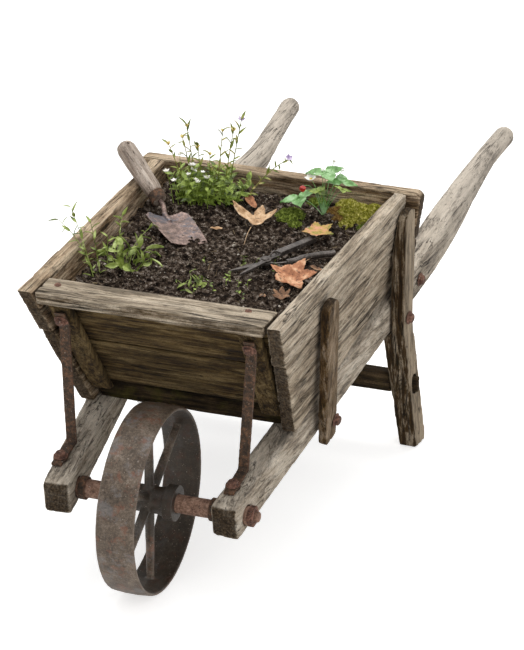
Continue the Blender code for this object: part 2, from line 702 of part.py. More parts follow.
def back_end(side, cut=0.0):
    """The back board's end: proud of the side board's outer face, its upper corner sawn round."""
    end = on_side(moved(SIDE_OUTER, BACK_EAR), side)
    if not cut:
        return [end]
    corner_x = side * (RIM_FRONT_HALF_WIDTH + SIDE_FLARE * BACK_FACE_Y + BACK_EAR)
    corner = Vector((corner_x, 0, height_at(RIM, 0, BACK_FACE_Y)))
    faces = [end]
    for degrees in (22.5, 45.0, 67.5):
        normal = Vector((side * math.cos(math.radians(degrees)), 0, math.sin(math.radians(degrees))))
        inset = cut * (1.414 - 1.0 if degrees == 45.0 else 0.25)
        faces.append(plane(corner - normal * inset, normal))
    return faces


def make_back():
    seam = moved(RIM, -BACK_SEAM_DROP)
    ends = back_end(1, BACK_CORNER_CUT) + back_end(-1, BACK_CORNER_CUT)
    sawn("back_board_upper", "weathered_oak", [BACK_FRONT, BACK_REAR, RIM, facing(seam)] + ends)
    sawn("back_board_lower", "shaded_oak",
         [BACK_FRONT, BACK_REAR, seam] + on_both_shafts() + back_end(1) + back_end(-1))


def make_front():
    ends = between_sides()
    rail_front = plane((0, RAIL_FRONT_Y, 0), (0, -1, 0))
    rail_back = plane((0, RAIL_BACK_Y, 0), (0, 1, 0))
    sawn("front_rail", "weathered_oak", [RIM, RAIL_UNDERSIDE, rail_front, rail_back] + ends, EDGE_WEAR * 1.6)
    seam = plane((0, 0, PANEL_SEAM_Z), (0, 0, 1))
    upper = sawn("front_board_upper", "shaded_oak",
                 [PANEL_OUTER, PANEL_INNER, facing(RAIL_UNDERSIDE), facing(seam)] + ends)
    sawn("front_board_lower", "shaded_oak", [PANEL_OUTER, PANEL_INNER, seam, facing(SILL_TOP)] + ends)
    sawn("front_sill", "shaded_oak", [SILL_FRONT, SILL_BACK, SILL_TOP] + on_both_shafts() + ends)
    batten_front = moved(PANEL_OUTER, FIT_GAP + BATTEN_THICKNESS)
    foot = plane((0, 0, BATTEN_FOOT_Z), (0, 0, -1))
    for tag, side in SIDES:
        edges = [on_side(facing(SIDE_INNER), side)]
        for hand in (1, -1):
            point = (BATTEN_TOP_X + hand * BATTEN_WIDTH / 2, 0, BATTEN_TOP_Z)
            edges.append(on_side(plane(point, (hand, 0, -hand * BATTEN_LEAN)), side))
        batten = sawn(f"front_batten_{tag}", "shaded_oak",
                      [batten_front, facing(PANEL_OUTER), facing(RAIL_UNDERSIDE), foot] + edges)
        seat, axis, reach = strap_top_bolt(side)
        for board, label in ((batten, "batten"), (upper, "panel")):
            drill(board, f"{label}_screw_hole_{tag}", seat + axis * DRILL_RUN,
                  seat - axis * (reach + BOLT_TIP), BOLT_RADIUS)
        bolt(f"strap_screw_{tag}", seat, axis, reach, nut=False)


def make_floor():
    start = SILL_BACK_Y + FIT_GAP
    end = BACK_FACE_Y - FIT_GAP
    pitch = (end - start) / FLOOR_BOARD_COUNT
    for i in range(FLOOR_BOARD_COUNT):
        front = plane((0, start + pitch * i, 0), (0, -1, 0))
        rear = plane((0, start + pitch * (i + 1) - FIT_GAP, 0), (0, 1, 0))
        tops = [FLOOR_TOP, on_side(FLOOR_TOP, -1)]
        sawn(f"floor_board_{i + 1}", "shaded_oak",
             [front, rear] + tops + on_both_shafts() + between_sides(), 0)


# Iron straps from the front battens down to the shafts

def strap_lean(side):
    """How far a strap moves inwards for each metre that it drops."""
    foot_x = shaft_centre(STRAP_LOWER_Y).x + STRAP_FOOT_OFFSET["right" if side > 0 else "left"]
    drop = STRAP_BOLT_Z - height_at(SHAFT_TOP, foot_x, STRAP_LOWER_Y)
    return (STRAP_TOP_X - foot_x) / drop


def strap_point(y, side):
    """A point on top of a strap's foot, above the shaft's top face."""
    x = STRAP_TOP_X - strap_lean(side) * (STRAP_BOLT_Z - height_at(SHAFT_TOP, STRAP_TOP_X, y))
    return Vector((side * x, y, height_at(SHAFT_TOP, x, y) + FIT_GAP * 2 + STRAP_THICKNESS))


def strap_top_bolt(side):
    """The screw through strap and batten into the front board: seat, axis and reach."""
    face = moved(PANEL_OUTER, 2 * FIT_GAP + BATTEN_THICKNESS + STRAP_THICKNESS)
    y = face[0].y - (STRAP_BOLT_Z - face[0].z) * face[1].z / face[1].y
    reach = STRAP_THICKNESS + BATTEN_THICKNESS + PANEL_THICKNESS / 2
    return Vector((side * STRAP_TOP_X, y, STRAP_BOLT_Z)), face[1].copy(), reach


def make_straps():
    face = moved(PANEL_OUTER, 2 * FIT_GAP + BATTEN_THICKNESS)
    def face_y(z, proud=0.0):
        lifted = moved(face, proud)
        return lifted[0].y - (z - lifted[0].z) * lifted[1].z / lifted[1].y
    t = STRAP_THICKNESS
    low = STRAP_LOWER_Y
    def sole(y, proud=0.0):
        return y, strap_point(y, 1).z - STRAP_THICKNESS + proud
    back_bend = face_y(STRAP_BEND_Z)
    outline = [(face_y(STRAP_TOP_Z), STRAP_TOP_Z), (face_y(STRAP_TOP_Z, t), STRAP_TOP_Z),
               (back_bend - t, STRAP_BEND_Z), sole(low - t, t * 1.5), sole(low - t * 1.5, t),
               sole(STRAP_FOOT_Y, t), sole(STRAP_FOOT_Y), sole(low - t * 0.4),
               sole(low, t * 0.4), (back_bend, STRAP_BEND_Z)]
    for tag, side in SIDES:
        lean = strap_lean(side)
        frame = columns((0, 1, 0), (side * lean, 0, 1), (1, 0, 0),
                        (side * (STRAP_TOP_X - lean * STRAP_BOLT_Z), 0, 0))
        strap = plate(f"iron_strap_{tag}", "rusty_iron", outline, STRAP_WIDTH, frame)
        foot = strap_point(STRAP_FOOT_SCREW_Y, side)
        up = SHAFT_UPWARD * Vector((side, 1, 1))
        disc = rod(f"strap_foot_disc_{tag}", foot - up * (t - FIT_GAP), foot + up * FIT_GAP,
                   STRAP_FOOT_RADIUS)
        combine(strap, disc, "UNION")
        drill(strap, f"strap_foot_hole_{tag}", foot + up * DRILL_RUN, foot - up * DRILL_RUN, BOLT_RADIUS)
        seat, axis, reach = strap_top_bolt(side)
        drill(strap, f"strap_top_hole_{tag}", seat + axis * DRILL_RUN, seat - axis * DRILL_RUN, BOLT_RADIUS)
        bolt(f"strap_foot_screw_{tag}", foot + up * FIT_GAP * 2, up, STRAP_SCREW_DEPTH, nut=False)


# Stakes on the side boards, and the legs

def stake_frame():
    """The right stake's directions (across, along, out), its foot and its length."""
    top_x = side_outer_x(STAKE_TOP_Y + STAKE_WIDTH / 2, STAKE_TOP_Z)
    foot_x = SHAFT_OUTER[0].x + SHAFT_SPREAD * (STAKE_FOOT_Y + STAKE_WIDTH / 2)
    foot_z = shaft_centre(STAKE_FOOT_Y).z - SHAFT_DEPTH / 2 - STAKE_BELOW_SHAFT
    along = Vector((top_x - foot_x, STAKE_TOP_Y - STAKE_FOOT_Y, STAKE_TOP_Z - foot_z))
    length = along.length
    along.normalize()
    across = Vector((SHAFT_SPREAD, 1, 0)).normalized()
    across = (across - along * across.dot(along)).normalized()
    out = across.cross(along)
    foot = Vector((foot_x, STAKE_FOOT_Y, foot_z)) + out * (STAKE_THICKNESS / 2 + FIT_GAP * 4)
    return across, along, out, foot, length


def make_stakes():
    across, along, out, foot, length = stake_frame()
    half = STAKE_WIDTH / 2
    outline = [(-half * 0.86, 0), (half * 0.86, 0), (half, half * 0.5)]
    for step in range(7):
        angle = math.pi * step / 6
        outline.append((half * math.cos(angle), length - half * 0.9 + half * 0.9 * math.sin(angle)))
    outline.append((-half, half * 0.5))
    for tag, side in SIDES:
        flip = Vector((side, 1, 1))
        frame = columns(across * flip, along * flip, out * flip, foot * flip)
        stake = plate(f"stake_{tag}", "weathered_oak", outline, STAKE_THICKNESS, frame)
        wear_edges(stake)
        seat, axis, reach = shaft_bolts(side)["stake"]
        drill(stake, f"stake_hole_{tag}", seat + axis * DRILL_RUN, seat - axis * reach, BOLT_RADIUS)
        bolt(f"stake_bolt_{tag}", seat, axis, reach)


def side_outer_x(y, z):
    """The x of the right side board's outer face."""
    point, normal = SIDE_OUTER
    return point.x - (normal.y * (y - point.y) + normal.z * (z - point.z)) / normal.x


LEG_OUTER = moved(SHAFT_OUTER, LEG_LAP_THICKNESS)


def leg_outer_x(y):
    return LEG_OUTER[0].x + SHAFT_SPREAD * (y - LEG_OUTER[0].y)


def leg_inner_x(z):
    """The right leg's inner face below the shaft, which splays out towards the ground."""
    shoulder = SHAFT_OUTER[0].x + SHAFT_SPREAD * (LEG_FRONT_Y + LEG_DEPTH / 2) - LEG_SHOULDER
    return shoulder + LEG_INNER_SPLAY * (LEG_KNEE_Z - SHAFT_DEPTH / 2 - z)


def leg_section(z, trim=0.0):
    """Four corners of the right leg at a height: splayed below the knee, upright above it."""
    below = max(LEG_KNEE_Z - z, 0.0)
    front = LEG_FRONT_Y + LEG_SPLAY_BACK * below
    corners = []
    for y in (front + trim, front + LEG_DEPTH - trim):
        outer = leg_outer_x(y - LEG_SPLAY_BACK * below) + LEG_SPLAY_OUT * below
        corners.append(((leg_inner_x(min(z, LEG_KNEE_Z)), y, z), (outer, y, z)))
    (a, b), (d, c) = corners
    return [a, b, c, d]


def make_legs():
    arch = LEG_TOP_ROUND
    sections = [leg_section(0), leg_section(LEG_KNEE_Z), leg_section(LEG_TOP_Z - arch),
                leg_section(LEG_TOP_Z - arch * 0.4, arch * 0.25), leg_section(LEG_TOP_Z, arch * 0.9)]
    for tag, side in SIDES:
        flip = Vector((side, 1, 1))
        leg = add_object(f"leg_{tag}",
                         loft(f"leg_{tag}", [[Vector(p) * flip for p in ring] for ring in sections]),
                         "weathered_oak")
        for label, face in (("shaft", SHAFT_OUTER), ("board", SIDE_OUTER)):
            lap = [on_side(moved(face, FIT_GAP), side), on_side(moved(SHAFT_BOTTOM, FIT_GAP), side)]
            combine(leg, sawn(f"leg_{label}_lap_{tag}", None, lap), "DIFFERENCE")
        mortise = sawn(f"leg_mortise_{tag}", None, tenon_faces(side, FIT_GAP, TENON_PROUD * 2))
        combine(leg, mortise, "DIFFERENCE")
        seat, axis, reach = shaft_bolts(side)["leg"]
        drill(leg, f"leg_hole_{tag}", seat + axis * DRILL_RUN, seat - axis * reach, BOLT_RADIUS)
        bolt(f"leg_bolt_{tag}", seat, axis, reach)
        rear_seat, rear_axis, rear_reach = shaft_bolts(side)["rear"]
        bolt(f"rear_bolt_{tag}", rear_seat, rear_axis, rear_reach, nut=False)
    make_stretcher(plane((leg_inner_x(0), 0, 0), (-1, 0, -LEG_INNER_SPLAY)))


def tenon_faces(side, grow, proud):
    """The faces of a stretcher's tenon, or of its mortise when grown by the fit gap."""
    y = stretcher_y()
    end_x = leg_outer_x(LEG_FRONT_Y + LEG_DEPTH) + LEG_SPLAY_OUT * (LEG_KNEE_Z - STRETCHER_Z) + proud
    return [plane((0, y - TENON_DEPTH / 2 - grow, 0), (0, -1, 0)),
            plane((0, y + TENON_DEPTH / 2 + grow, 0), (0, 1, 0)),
            plane((0, 0, STRETCHER_Z - TENON_HEIGHT / 2 - grow), (0, 0, -1)),
            plane((0, 0, STRETCHER_Z + TENON_HEIGHT / 2 + grow), (0, 0, 1)),
            plane((side * end_x, 0, 0), (side, 0, 0)), plane((side * 0.15, 0, 0), (-side, 0, 0))]


def stretcher_y():
    return LEG_FRONT_Y + LEG_DEPTH / 2 + LEG_SPLAY_BACK * (LEG_KNEE_Z - STRETCHER_Z)


def make_stretcher(leg_inner):
    y = stretcher_y()
    ends = [facing(leg_inner), on_side(facing(leg_inner), -1)]
    body = [plane((0, y - STRETCHER_DEPTH / 2, 0), (0, -1, 0)),
            plane((0, y + STRETCHER_DEPTH / 2, 0), (0, 1, 0)),
            plane((0, 0, STRETCHER_Z - STRETCHER_HEIGHT / 2), (0, 0, -1)),
            plane((0, 0, STRETCHER_Z + STRETCHER_HEIGHT / 2), (0, 0, 1))]
    stretcher = sawn("leg_stretcher", "shaded_oak", body + ends, 0)
    for tag, side in SIDES:
        tenon = sawn(f"stretcher_tenon_{tag}", None, tenon_faces(side, 0, TENON_PROUD))
        combine(stretcher, tenon, "UNION")


def make_rear_rail():
    centre = shaft_centre(REAR_RAIL_Y)
    ends = [facing(SHAFT_INNER), on_side(facing(SHAFT_INNER), -1)]
    half_depth = REAR_RAIL_DEPTH / 2
    half_height = REAR_RAIL_HEIGHT / 2
    faces = [plane((0, REAR_RAIL_Y - half_depth, 0), (0, -1, 0)),
             plane((0, REAR_RAIL_Y + half_depth, 0), (0, 1, 0)),
             plane((0, 0, centre.z - half_height), (0, 0, -1)),
             plane((0, 0, centre.z + half_height), (0, 0, 1))]
    rail = sawn("rear_rail", "shaded_oak", faces + ends)
    for tag, side in SIDES:
        seat, axis, reach = shaft_bolts(side)["rear"]
        drill(rail, f"rear_rail_hole_{tag}", seat, seat - axis * (reach + BOLT_TIP), BOLT_RADIUS)


# Soil, moss and plants

def make_soil():
    top = plane((0, 0, SOIL_TOP_Z), (0, 0, 1))
    floor = [facing(FLOOR_TOP), on_side(facing(FLOOR_TOP), -1)]
    rear = facing(BACK_FRONT)
    above_sill = facing(SILL_TOP)
    soil = sawn("soil", "soil", [top, above_sill, facing(PANEL_INNER), rear] + floor + between_sides(), 0)
    behind_sill = facing(SILL_BACK)
    lower_top = plane((0, 0, SILL_TOP_Z + 0.05), (0, 0, 1))
    lower = sawn("soil_behind_sill", None, [lower_top, behind_sill, facing(PANEL_INNER),
                                            rear] + floor + between_sides())
    combine(soil, lower, "UNION")


def mound_mesh(name, centre, radii, lobes=0, lobe_depth=0.0, rough=0.0, seed=0.0):
    """A dome on the soil with a flat underside, its outline lobed like a plant's."""
    bm = bmesh.new()
    rings = []
    for ring in range(MOUND_RINGS):
        lift = math.pi / 2 * ring / MOUND_RINGS
        points = []
        for i in range(MOUND_SEGMENTS):
            turn = 2 * math.pi * i / MOUND_SEGMENTS
            swell = 1 + lobe_depth * math.cos(lobes * turn)
            direction = Vector((math.cos(turn) * math.cos(lift), math.sin(turn) * math.cos(lift),
                                math.sin(lift)))
            swell += rough * noise.noise(direction * 2.3 + Vector((seed, 0, 0)))
            flat = Vector((direction.x * radii[0], direction.y * radii[1], direction.z * radii[2])) * swell
            flat.z = max(flat.z, 0.0) if ring else 0.0
            points.append(bm.verts.new(Vector((centre[0], centre[1], SOIL_TOP_Z + FIT_GAP)) + flat))
        rings.append(points)
    for near, far in zip(rings, rings[1:]):
        for i in range(MOUND_SEGMENTS):
            j = (i + 1) % MOUND_SEGMENTS
            bm.faces.new((near[i], near[j], far[j], far[i]))
    peak = bm.verts.new((centre[0], centre[1], SOIL_TOP_Z + FIT_GAP + radii[2]))
    for i in range(MOUND_SEGMENTS):
        bm.faces.new((rings[-1][i], rings[-1][(i + 1) % MOUND_SEGMENTS], peak))
    bm.faces.new(rings[0][::-1])
    bmesh.ops.recalc_face_normals(bm, faces=bm.faces[:])
    mesh = bpy.data.meshes.new(name)
    bm.to_mesh(mesh)
    bm.free()
    return mesh


def mound(name, finish, centre, radii, **form):
    return add_object(name, mound_mesh(name, centre, radii, **form), finish)


def sprout(plant, label, root, tip, radius, leaf=None):
    """A stem grown from a plant's base, with a flattened leaf cluster on its tip if given."""
    root = Vector((root[0], root[1], SOIL_TOP_Z + 0.004))
    tip = Vector(tip)
    middle = (root + tip) / 2 + Vector((0, 0, (tip - root).length * 0.06))
    combine(plant, bent_rod(f"{label}_stem", None, [root, middle, tip], radius), "UNION")
    if leaf:
        bm = bmesh.new()
        bmesh.ops.create_icosphere(bm, subdivisions=1, radius=1.0)
        mesh = bpy.data.meshes.new(f"{label}_leaf")
        bm.to_mesh(mesh)
        bm.free()
        mesh.transform(Matrix.Translation(tip) @ Matrix.Diagonal((*leaf, 1)))
        combine(plant, add_object(f"{label}_leaf", mesh, None), "UNION")


MOSS_CUSHION_AT = (RIM_FRONT_HALF_WIDTH - 0.1897, BACK_FACE_Y - 0.107)
MOSS_BANK_AT = (RIM_FRONT_HALF_WIDTH - 0.0757, BACK_FACE_Y - 0.052)
ROSETTE_AT = (0.0977 - RIM_FRONT_HALF_WIDTH, BACK_FACE_Y - 0.422)
WEED_AT = (0.1197 - RIM_FRONT_HALF_WIDTH, BACK_FACE_Y - 0.067)
STRAWBERRY_AT = (RIM_FRONT_HALF_WIDTH - 0.1397, BACK_FACE_Y - 0.075)


def make_plants():
    mound("moss_cushion", "moss", MOSS_CUSHION_AT, (0.030, 0.034, 0.017), rough=0.15, seed=1.0)
    mound("moss_bank", "moss", MOSS_BANK_AT, (0.038, 0.040, 0.020), rough=0.18, seed=4.0)
    rosette = mound("rosette_weed", "leaf_green", ROSETTE_AT, (0.050, 0.052, 0.020), lobes=5, lobe_depth=0.20)
    x, y = ROSETTE_AT
    for i, (dx, dy, dz) in enumerate(((0.020, 0.062, 0.050), (0.048, 0.045, 0.040), (-0.030, 0.050, 0.060))):
        sprout(rosette, f"rosette_{i}", (x + dx * 0.2, y + dy * 0.2), (x + dx, y + dy, SOIL_TOP_Z + dz),
               0.0022,
               (0.008, 0.010, 0.004))
    weed = mound("weed_clump", "leaf_green", WEED_AT, (0.080, 0.054, 0.046), lobes=5, lobe_depth=0.10,
                 rough=0.3,
                 seed=7.0)
    x, y = WEED_AT
    tips = ((-0.058, -0.030, 0.112), (-0.032, -0.020, 0.128), (-0.020, -0.005, 0.150), (0.050, -0.020, 0.150),
            (0.076, -0.022, 0.158), (0.092, -0.020, 0.190))
    for i, (dx, dy, dz) in enumerate(tips):
        sprout(weed, f"weed_{i}", (x + dx * 0.5, y + dy * 0.5), (x + dx, y + dy, SOIL_TOP_Z + dz), 0.0022,
               (0.008, 0.008, 0.010))
    berry = mound("strawberry_plant", "leaf_green", STRAWBERRY_AT, (0.012, 0.012, 0.016), lobes=5,
                  lobe_depth=0.1)
    x, y = STRAWBERRY_AT
    leaves = ((0.012, -0.012, 0.104), (0.044, -0.016, 0.082), (-0.040, -0.020, 0.046), (0.002, -0.016, 0.060))
    for i, (dx, dy, dz) in enumerate(leaves):
        sprout(berry, f"strawberry_{i}", (x + dx * 0.1, y + dy * 0.1), (x + dx, y + dy, SOIL_TOP_Z + dz),
               0.0018,
               (0.024, 0.020, 0.0045))


def leaf_outline(length, lobes, notch):
    """A lobed leaf, its stalk end at the origin."""
    points = []
    steps = lobes * 6
    for i in range(steps):
        turn = 2 * math.pi * i / steps
        reach = length / 2 * (1 - notch * (0.5 - 0.5 * math.cos(lobes * turn)))
        points.append((reach * math.cos(turn), reach * math.sin(turn) * 0.8))
    return points


FALLEN_LEAVES = (
    ("leaf_maple_tan", (MOSS_CUSHION_AT[0] - 0.064, MOSS_CUSHION_AT[1] - 0.040), 0.076, 5, 0.45, 20.0),
    ("leaf_orange", (RIM_FRONT_HALF_WIDTH - 0.0897, BACK_FACE_Y - 0.382), 0.084, 5, 0.38, 60.0),
    ("leaf_yellow", (MOSS_BANK_AT[0] - 0.026, MOSS_BANK_AT[1] - 0.110), 0.052, 5, 0.30, -40.0),
)


def make_fallen_leaves():
    thickness = 0.0016
    lift = SOIL_TOP_Z + FIT_GAP + thickness / 2
    for name, place, length, lobes, notch, degrees in FALLEN_LEAVES:
        turn = Matrix.Rotation(math.radians(degrees), 4, "Z")
        frame = Matrix.Translation((place[0], place[1], lift)) @ turn
        plate(name, "dead_leaf", leaf_outline(length, lobes, notch), thickness, frame)


# The trowel: its handle rests on the left side board, its blade on the soil

def make_trowel():
    axis = Vector(TROWEL_HANDLE_AXIS).normalized()
    neck = Vector(TROWEL_NECK_END)
    radius = TROWEL_HANDLE_RADIUS
    length = TROWEL_HANDLE_LENGTH
    seat = FERRULE_RADIUS - FERRULE_WALL - FIT_GAP
    profile = [(0, length), (radius * 0.45, length - 0.001), (radius * 0.82, length - 0.006),
               (radius * 0.98, length - 0.016), (radius, length - 0.045), (radius * 0.96, length * 0.5),
               (radius * 0.90, FERRULE_LENGTH + 0.012), (FERRULE_RADIUS, FERRULE_LENGTH + FIT_GAP),
               (seat, FERRULE_LENGTH + FIT_GAP), (seat, 0), (0, 0)]
    handle = turned("trowel_handle", "ash_handle", profile, neck, axis, 20)
    side = axis.cross(Vector((0, 0, 1))).normalized()
    up = side.cross(axis).normalized()
    eye = neck + axis * (length - 0.014)
    combine(handle, rod("trowel_eye", eye - up * 0.04, eye + up * 0.04, TROWEL_HOLE_RADIUS, 12), "DIFFERENCE")
    drill(handle, "trowel_tang_hole", neck - axis * 0.01, neck + axis * (TANG_IN_HANDLE + 0.002), TANG_RADIUS)
    bore = FERRULE_RADIUS - FERRULE_WALL + 0.0001
    turned("trowel_ferrule", "rusty_iron", ring_profile(FERRULE_RADIUS, bore, FERRULE_LENGTH, 0), neck,
           axis, 20)
    make_trowel_blade(neck, axis)


def make_trowel_blade(neck, handle_axis):
    root = Vector(BLADE_ROOT)
    along = Vector(BLADE_AXIS).normalized()
    across = along.cross(Vector((0, 0, 1))).normalized()
    tilt = Matrix.Rotation(math.radians(-9), 3, along)
    across = tilt @ across
    up = across.cross(along).normalized()
    lines = 9
    rows = 12
    mesh = bpy.data.meshes.new("trowel_blade")
    bm = bmesh.new()
    grid = []
    for row in range(rows + 1):
        s = row / rows
        half = BLADE_HALF_WIDTH * min(1.0, 0.76 + 4.0 * s) * (1 - 0.16 * s * s)
        line = []
        for i in range(lines):
            t = 2 * i / (lines - 1) - 1
            dish = BLADE_DISH * (t * t) * (1 - 0.5 * s)
            line.append(bm.verts.new(root + along * BLADE_LENGTH * s + across * half * t + up * dish))
        grid.append(line)
    for near, far in zip(grid, grid[1:]):
        for i in range(lines - 1):
            bm.faces.new((near[i], near[i + 1], far[i + 1], far[i]))
    bm.normal_update()
    if sum((f.normal for f in bm.faces), Vector()).dot(up) < 0:
        bmesh.ops.reverse_faces(bm, faces=bm.faces[:])
    bm.to_mesh(mesh)
    bm.free()
    blade = add_object("trowel_blade", mesh, "blade_steel")
    shell = blade.modifiers.new("blade_thickness", "SOLIDIFY")
    shell.thickness = BLADE_THICKNESS
    shell.offset = 1.0
    into_blade = root + along * 0.030 + up * 0.0035
    route = [neck + handle_axis * TANG_IN_HANDLE, neck, neck - handle_axis * 0.014,
             root - along * 0.002 + up * 0.0055, root + along * 0.012 + up * 0.0042, into_blade]
    combine(blade, bent_rod("trowel_neck", None, route, TANG_RADIUS), "UNION")


# The shears: two halves on one pivot, lying open on the soil

def turned_outline(points, degrees):
    angle = math.radians(degrees)
    c, s = math.cos(angle), math.sin(angle)
    return [(u * c - v * s, u * s + v * c) for u, v in points]


def blade_outline(length, root_width, belly):
    """A blade from the boss along +X, its cutting edge curved."""
    steps = 6
    upper = [(length * i / steps, root_width * (1 - (i / steps) ** 2)) for i in range(steps)]
    lower = [(length * i / steps, -belly * math.sin(math.pi * (i / steps) ** 0.8)) for i in range(steps, 0,
                                                                                                  -1)]
    return upper + [(length, 0.0005)] + lower[1:] + [(0, -root_width * 0.6)]


def make_shears():
    px, py = SHEARS_PIVOT
    low = SOIL_TOP_Z + SHEARS_LIFT
    under = low + SHEARS_PLATE / 2
    over = under + SHEARS_PLATE + FIT_GAP
    pivot_at = (px, py, low)
    boss_steps = 20
    halves = (
        ("shears_blade_half", under, SHEARS_BLADE_ANGLE, SHEARS_BLADE_LENGTH, 0.0085, 0.004),
        ("shears_hook_half", over, SHEARS_HOOK_ANGLE, SHEARS_HOOK_LENGTH, 0.0075, 0.003),
    )
    made = {}
    for name, level, angle, length, root_width, belly in halves:
        frame = Matrix.Translation((px, py, level))
        outline = turned_outline(blade_outline(length, root_width, belly), angle)
        half = plate(name, "dark_steel", outline, SHEARS_PLATE, frame, origin=pivot_at)
        centre = Vector((px, py, level))
        thick = Vector((0, 0, SHEARS_PLATE / 2))
        boss = rod(f"{name}_boss", centre - thick, centre + thick, SHEARS_BOSS_RADIUS, boss_steps)
        combine(half, boss, "UNION")
        made[name] = half
    add_round_handle(made["shears_blade_half"], Vector((px, py, under)))
    add_flat_handle(made["shears_hook_half"], Vector((px, py, over)))
    for name, half in made.items():
        clear = (SHEARS_PIVOT_RADIUS + RUNNING_GAP) / math.cos(math.pi / boss_steps)
        hole = rod(f"{name}_hole", (px, py, low - 0.01), (px, py, low + 0.03), clear, boss_steps)
        combine(half, hole, "DIFFERENCE")
    bottom = low - FIT_GAP
    top = over + SHEARS_PLATE / 2 + FIT_GAP
    profile = [(0, top + SHEARS_PIVOT_HEAD_HEIGHT),
               (SHEARS_PIVOT_HEAD_RADIUS * 0.6, top + SHEARS_PIVOT_HEAD_HEIGHT),
               (SHEARS_PIVOT_HEAD_RADIUS, top + SHEARS_PIVOT_HEAD_HEIGHT * 0.4),
               (SHEARS_PIVOT_HEAD_RADIUS, top),
               (SHEARS_PIVOT_RADIUS, top), (SHEARS_PIVOT_RADIUS, bottom), (0, bottom)]
    turned("shears_pivot", "dark_steel", [(r, h - low) for r, h in profile], pivot_at, (0, 0, 1), boss_steps)
    add_catch(made["shears_hook_half"], Vector((px, py, over + SHEARS_PLATE / 2)))


def ray_from(centre, degrees, distance, sideways=0.0, lift=0.0):
    """A point at a distance from the pivot, in a direction seen from above."""
    angle = math.radians(degrees)
    along = Vector((math.cos(angle), math.sin(angle), 0))
    across = Vector((-math.sin(angle), math.cos(angle), 0))
    return centre + along * distance + across * sideways + Vector((0, 0, lift))


def add_round_handle(half, centre):
    """The lower half's handle: flat at the boss, cranked, then a round grip."""
    angle = SHEARS_ROUND_HANDLE_ANGLE
    rise = SHEARS_GRIP_RADIUS - SHEARS_PLATE / 2
    route = [ray_from(centre, angle, 0.004, -0.004, 0.0), ray_from(centre, angle, 0.018, -0.010, 0.0),
             ray_from(centre, angle, 0.036, -0.019, rise), ray_from(centre, angle, 0.052, -0.016, rise),
             ray_from(centre, angle, 0.072, -0.006, rise), ray_from(centre, angle, 0.105, 0.000, rise),
             ray_from(centre, angle, SHEARS_HANDLE_LENGTH, -0.001, rise)]
    narrow = bent_rod("shears_round_shank", None, route[:3], SHEARS_PLATE / 2, 2)
    grip = bent_rod("shears_round_grip", None, route[2:], SHEARS_GRIP_RADIUS, 3)
    combine(half, narrow, "UNION")
    combine(half, grip, "UNION")


def add_flat_handle(half, centre):
    """The upper half's handle: a thick flat bar with squared edges."""
    angle = SHEARS_FLAT_HANDLE_ANGLE
    wide = SHEARS_FLAT_GRIP_WIDTH / 2
    outline = [(0.000, -wide * 0.8), (0.030, -wide), (SHEARS_HANDLE_LENGTH - 0.004, -wide * 0.9),
               (SHEARS_HANDLE_LENGTH, 0), (SHEARS_HANDLE_LENGTH - 0.004, wide * 0.9), (0.030, wide),
               (0.000, wide * 0.8)]
    flat = plate_mesh("shears_flat_shank", turned_outline(outline, angle), SHEARS_PLATE,
                      Matrix.Translation(centre))
    combine(half, add_object("shears_flat_shank", flat, None), "UNION")
    grip = [(0.034, -wide * 1.02), (SHEARS_HANDLE_LENGTH - 0.006, -wide * 0.92),
            (SHEARS_HANDLE_LENGTH + 0.001, 0),
            (SHEARS_HANDLE_LENGTH - 0.006, wide * 0.92), (0.034, wide * 1.02)]
    lift = (SHEARS_FLAT_GRIP_THICKNESS - SHEARS_PLATE) / 2
    frame = Matrix.Translation(centre + Vector((0, 0, lift)))
    thick = plate_mesh("shears_flat_grip", turned_outline(grip, angle), SHEARS_FLAT_GRIP_THICKNESS, frame)
    combine(half, add_object("shears_flat_grip", thick, None), "UNION")


def add_catch(half, top_centre):
    """A small wire catch, set into the flat handle beside the pivot."""
    angle = SHEARS_FLAT_HANDLE_ANGLE
    route = [ray_from(top_centre, angle, CATCH_DISTANCE - CATCH_RADIUS, 0.0, -SHEARS_PLATE / 2)]
    for step in range(7):
        turn = math.pi * (1 - step / 6)
        route.append(ray_from(top_centre, angle, CATCH_DISTANCE + CATCH_RADIUS * math.cos(turn), 0.0,
                              CATCH_WIRE_RADIUS + CATCH_RADIUS * math.sin(turn)))
    route.append(ray_from(top_centre, angle, CATCH_DISTANCE + CATCH_RADIUS, 0.0, -SHEARS_PLATE / 2))
    combine(half, bent_rod("shears_catch", None, route, CATCH_WIRE_RADIUS), "UNION")


def centre_footprint():
    """Move the whole barrow so that the origin is the middle of its box on the ground."""
    bpy.context.view_layer.update()
    graph = bpy.context.evaluated_depsgraph_get()
    low, high = Vector((9, 9, 9)), Vector((-9, -9, -9))
    for obj in parts.objects:
        if obj.type != "MESH":
            continue
        shape = obj.evaluated_get(graph)
        mesh = shape.to_mesh()
        for vertex in mesh.vertices:
            point = obj.matrix_world @ vertex.co
            low = Vector(map(min, low, point))
            high = Vector(map(max, high, point))
        shape.to_mesh_clear()
    barrow.location = (-(low.x + high.x) / 2, -(low.y + high.y) / 2, 0)
    bpy.context.view_layer.update()


def main():
    clear_scene()
    make_wheel()
    make_axle()
    make_shafts()
    make_sides()
    make_back()
    make_front()
    make_floor()
    make_straps()
    make_stakes()
    make_legs()
    make_rear_rail()
    make_soil()
    make_plants()
    make_fallen_leaves()
    make_trowel()
    make_shears()
    centre_footprint()
    print("barrow_frame at", [round(v, 5) for v in barrow.location])


main()
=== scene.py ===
# %% [markdown]
# # An old garden barrow, planted up and left outdoors
#
# The wooden barrow stands on one cast-iron wheel and two legs. Its tray is full of soil, and small
# plants, a trowel and a pair of pruning shears lie in it. The solids come from the CAD model, and
# this lesson dresses them: weathered oak, rusted iron, crumbly soil, moss and leaves. All lengths
# are in metres, in the same frame as the CAD.

# %% Load the frame
import json
import math
import random

import bmesh
import bpy
from mathutils import Matrix, Vector, noise

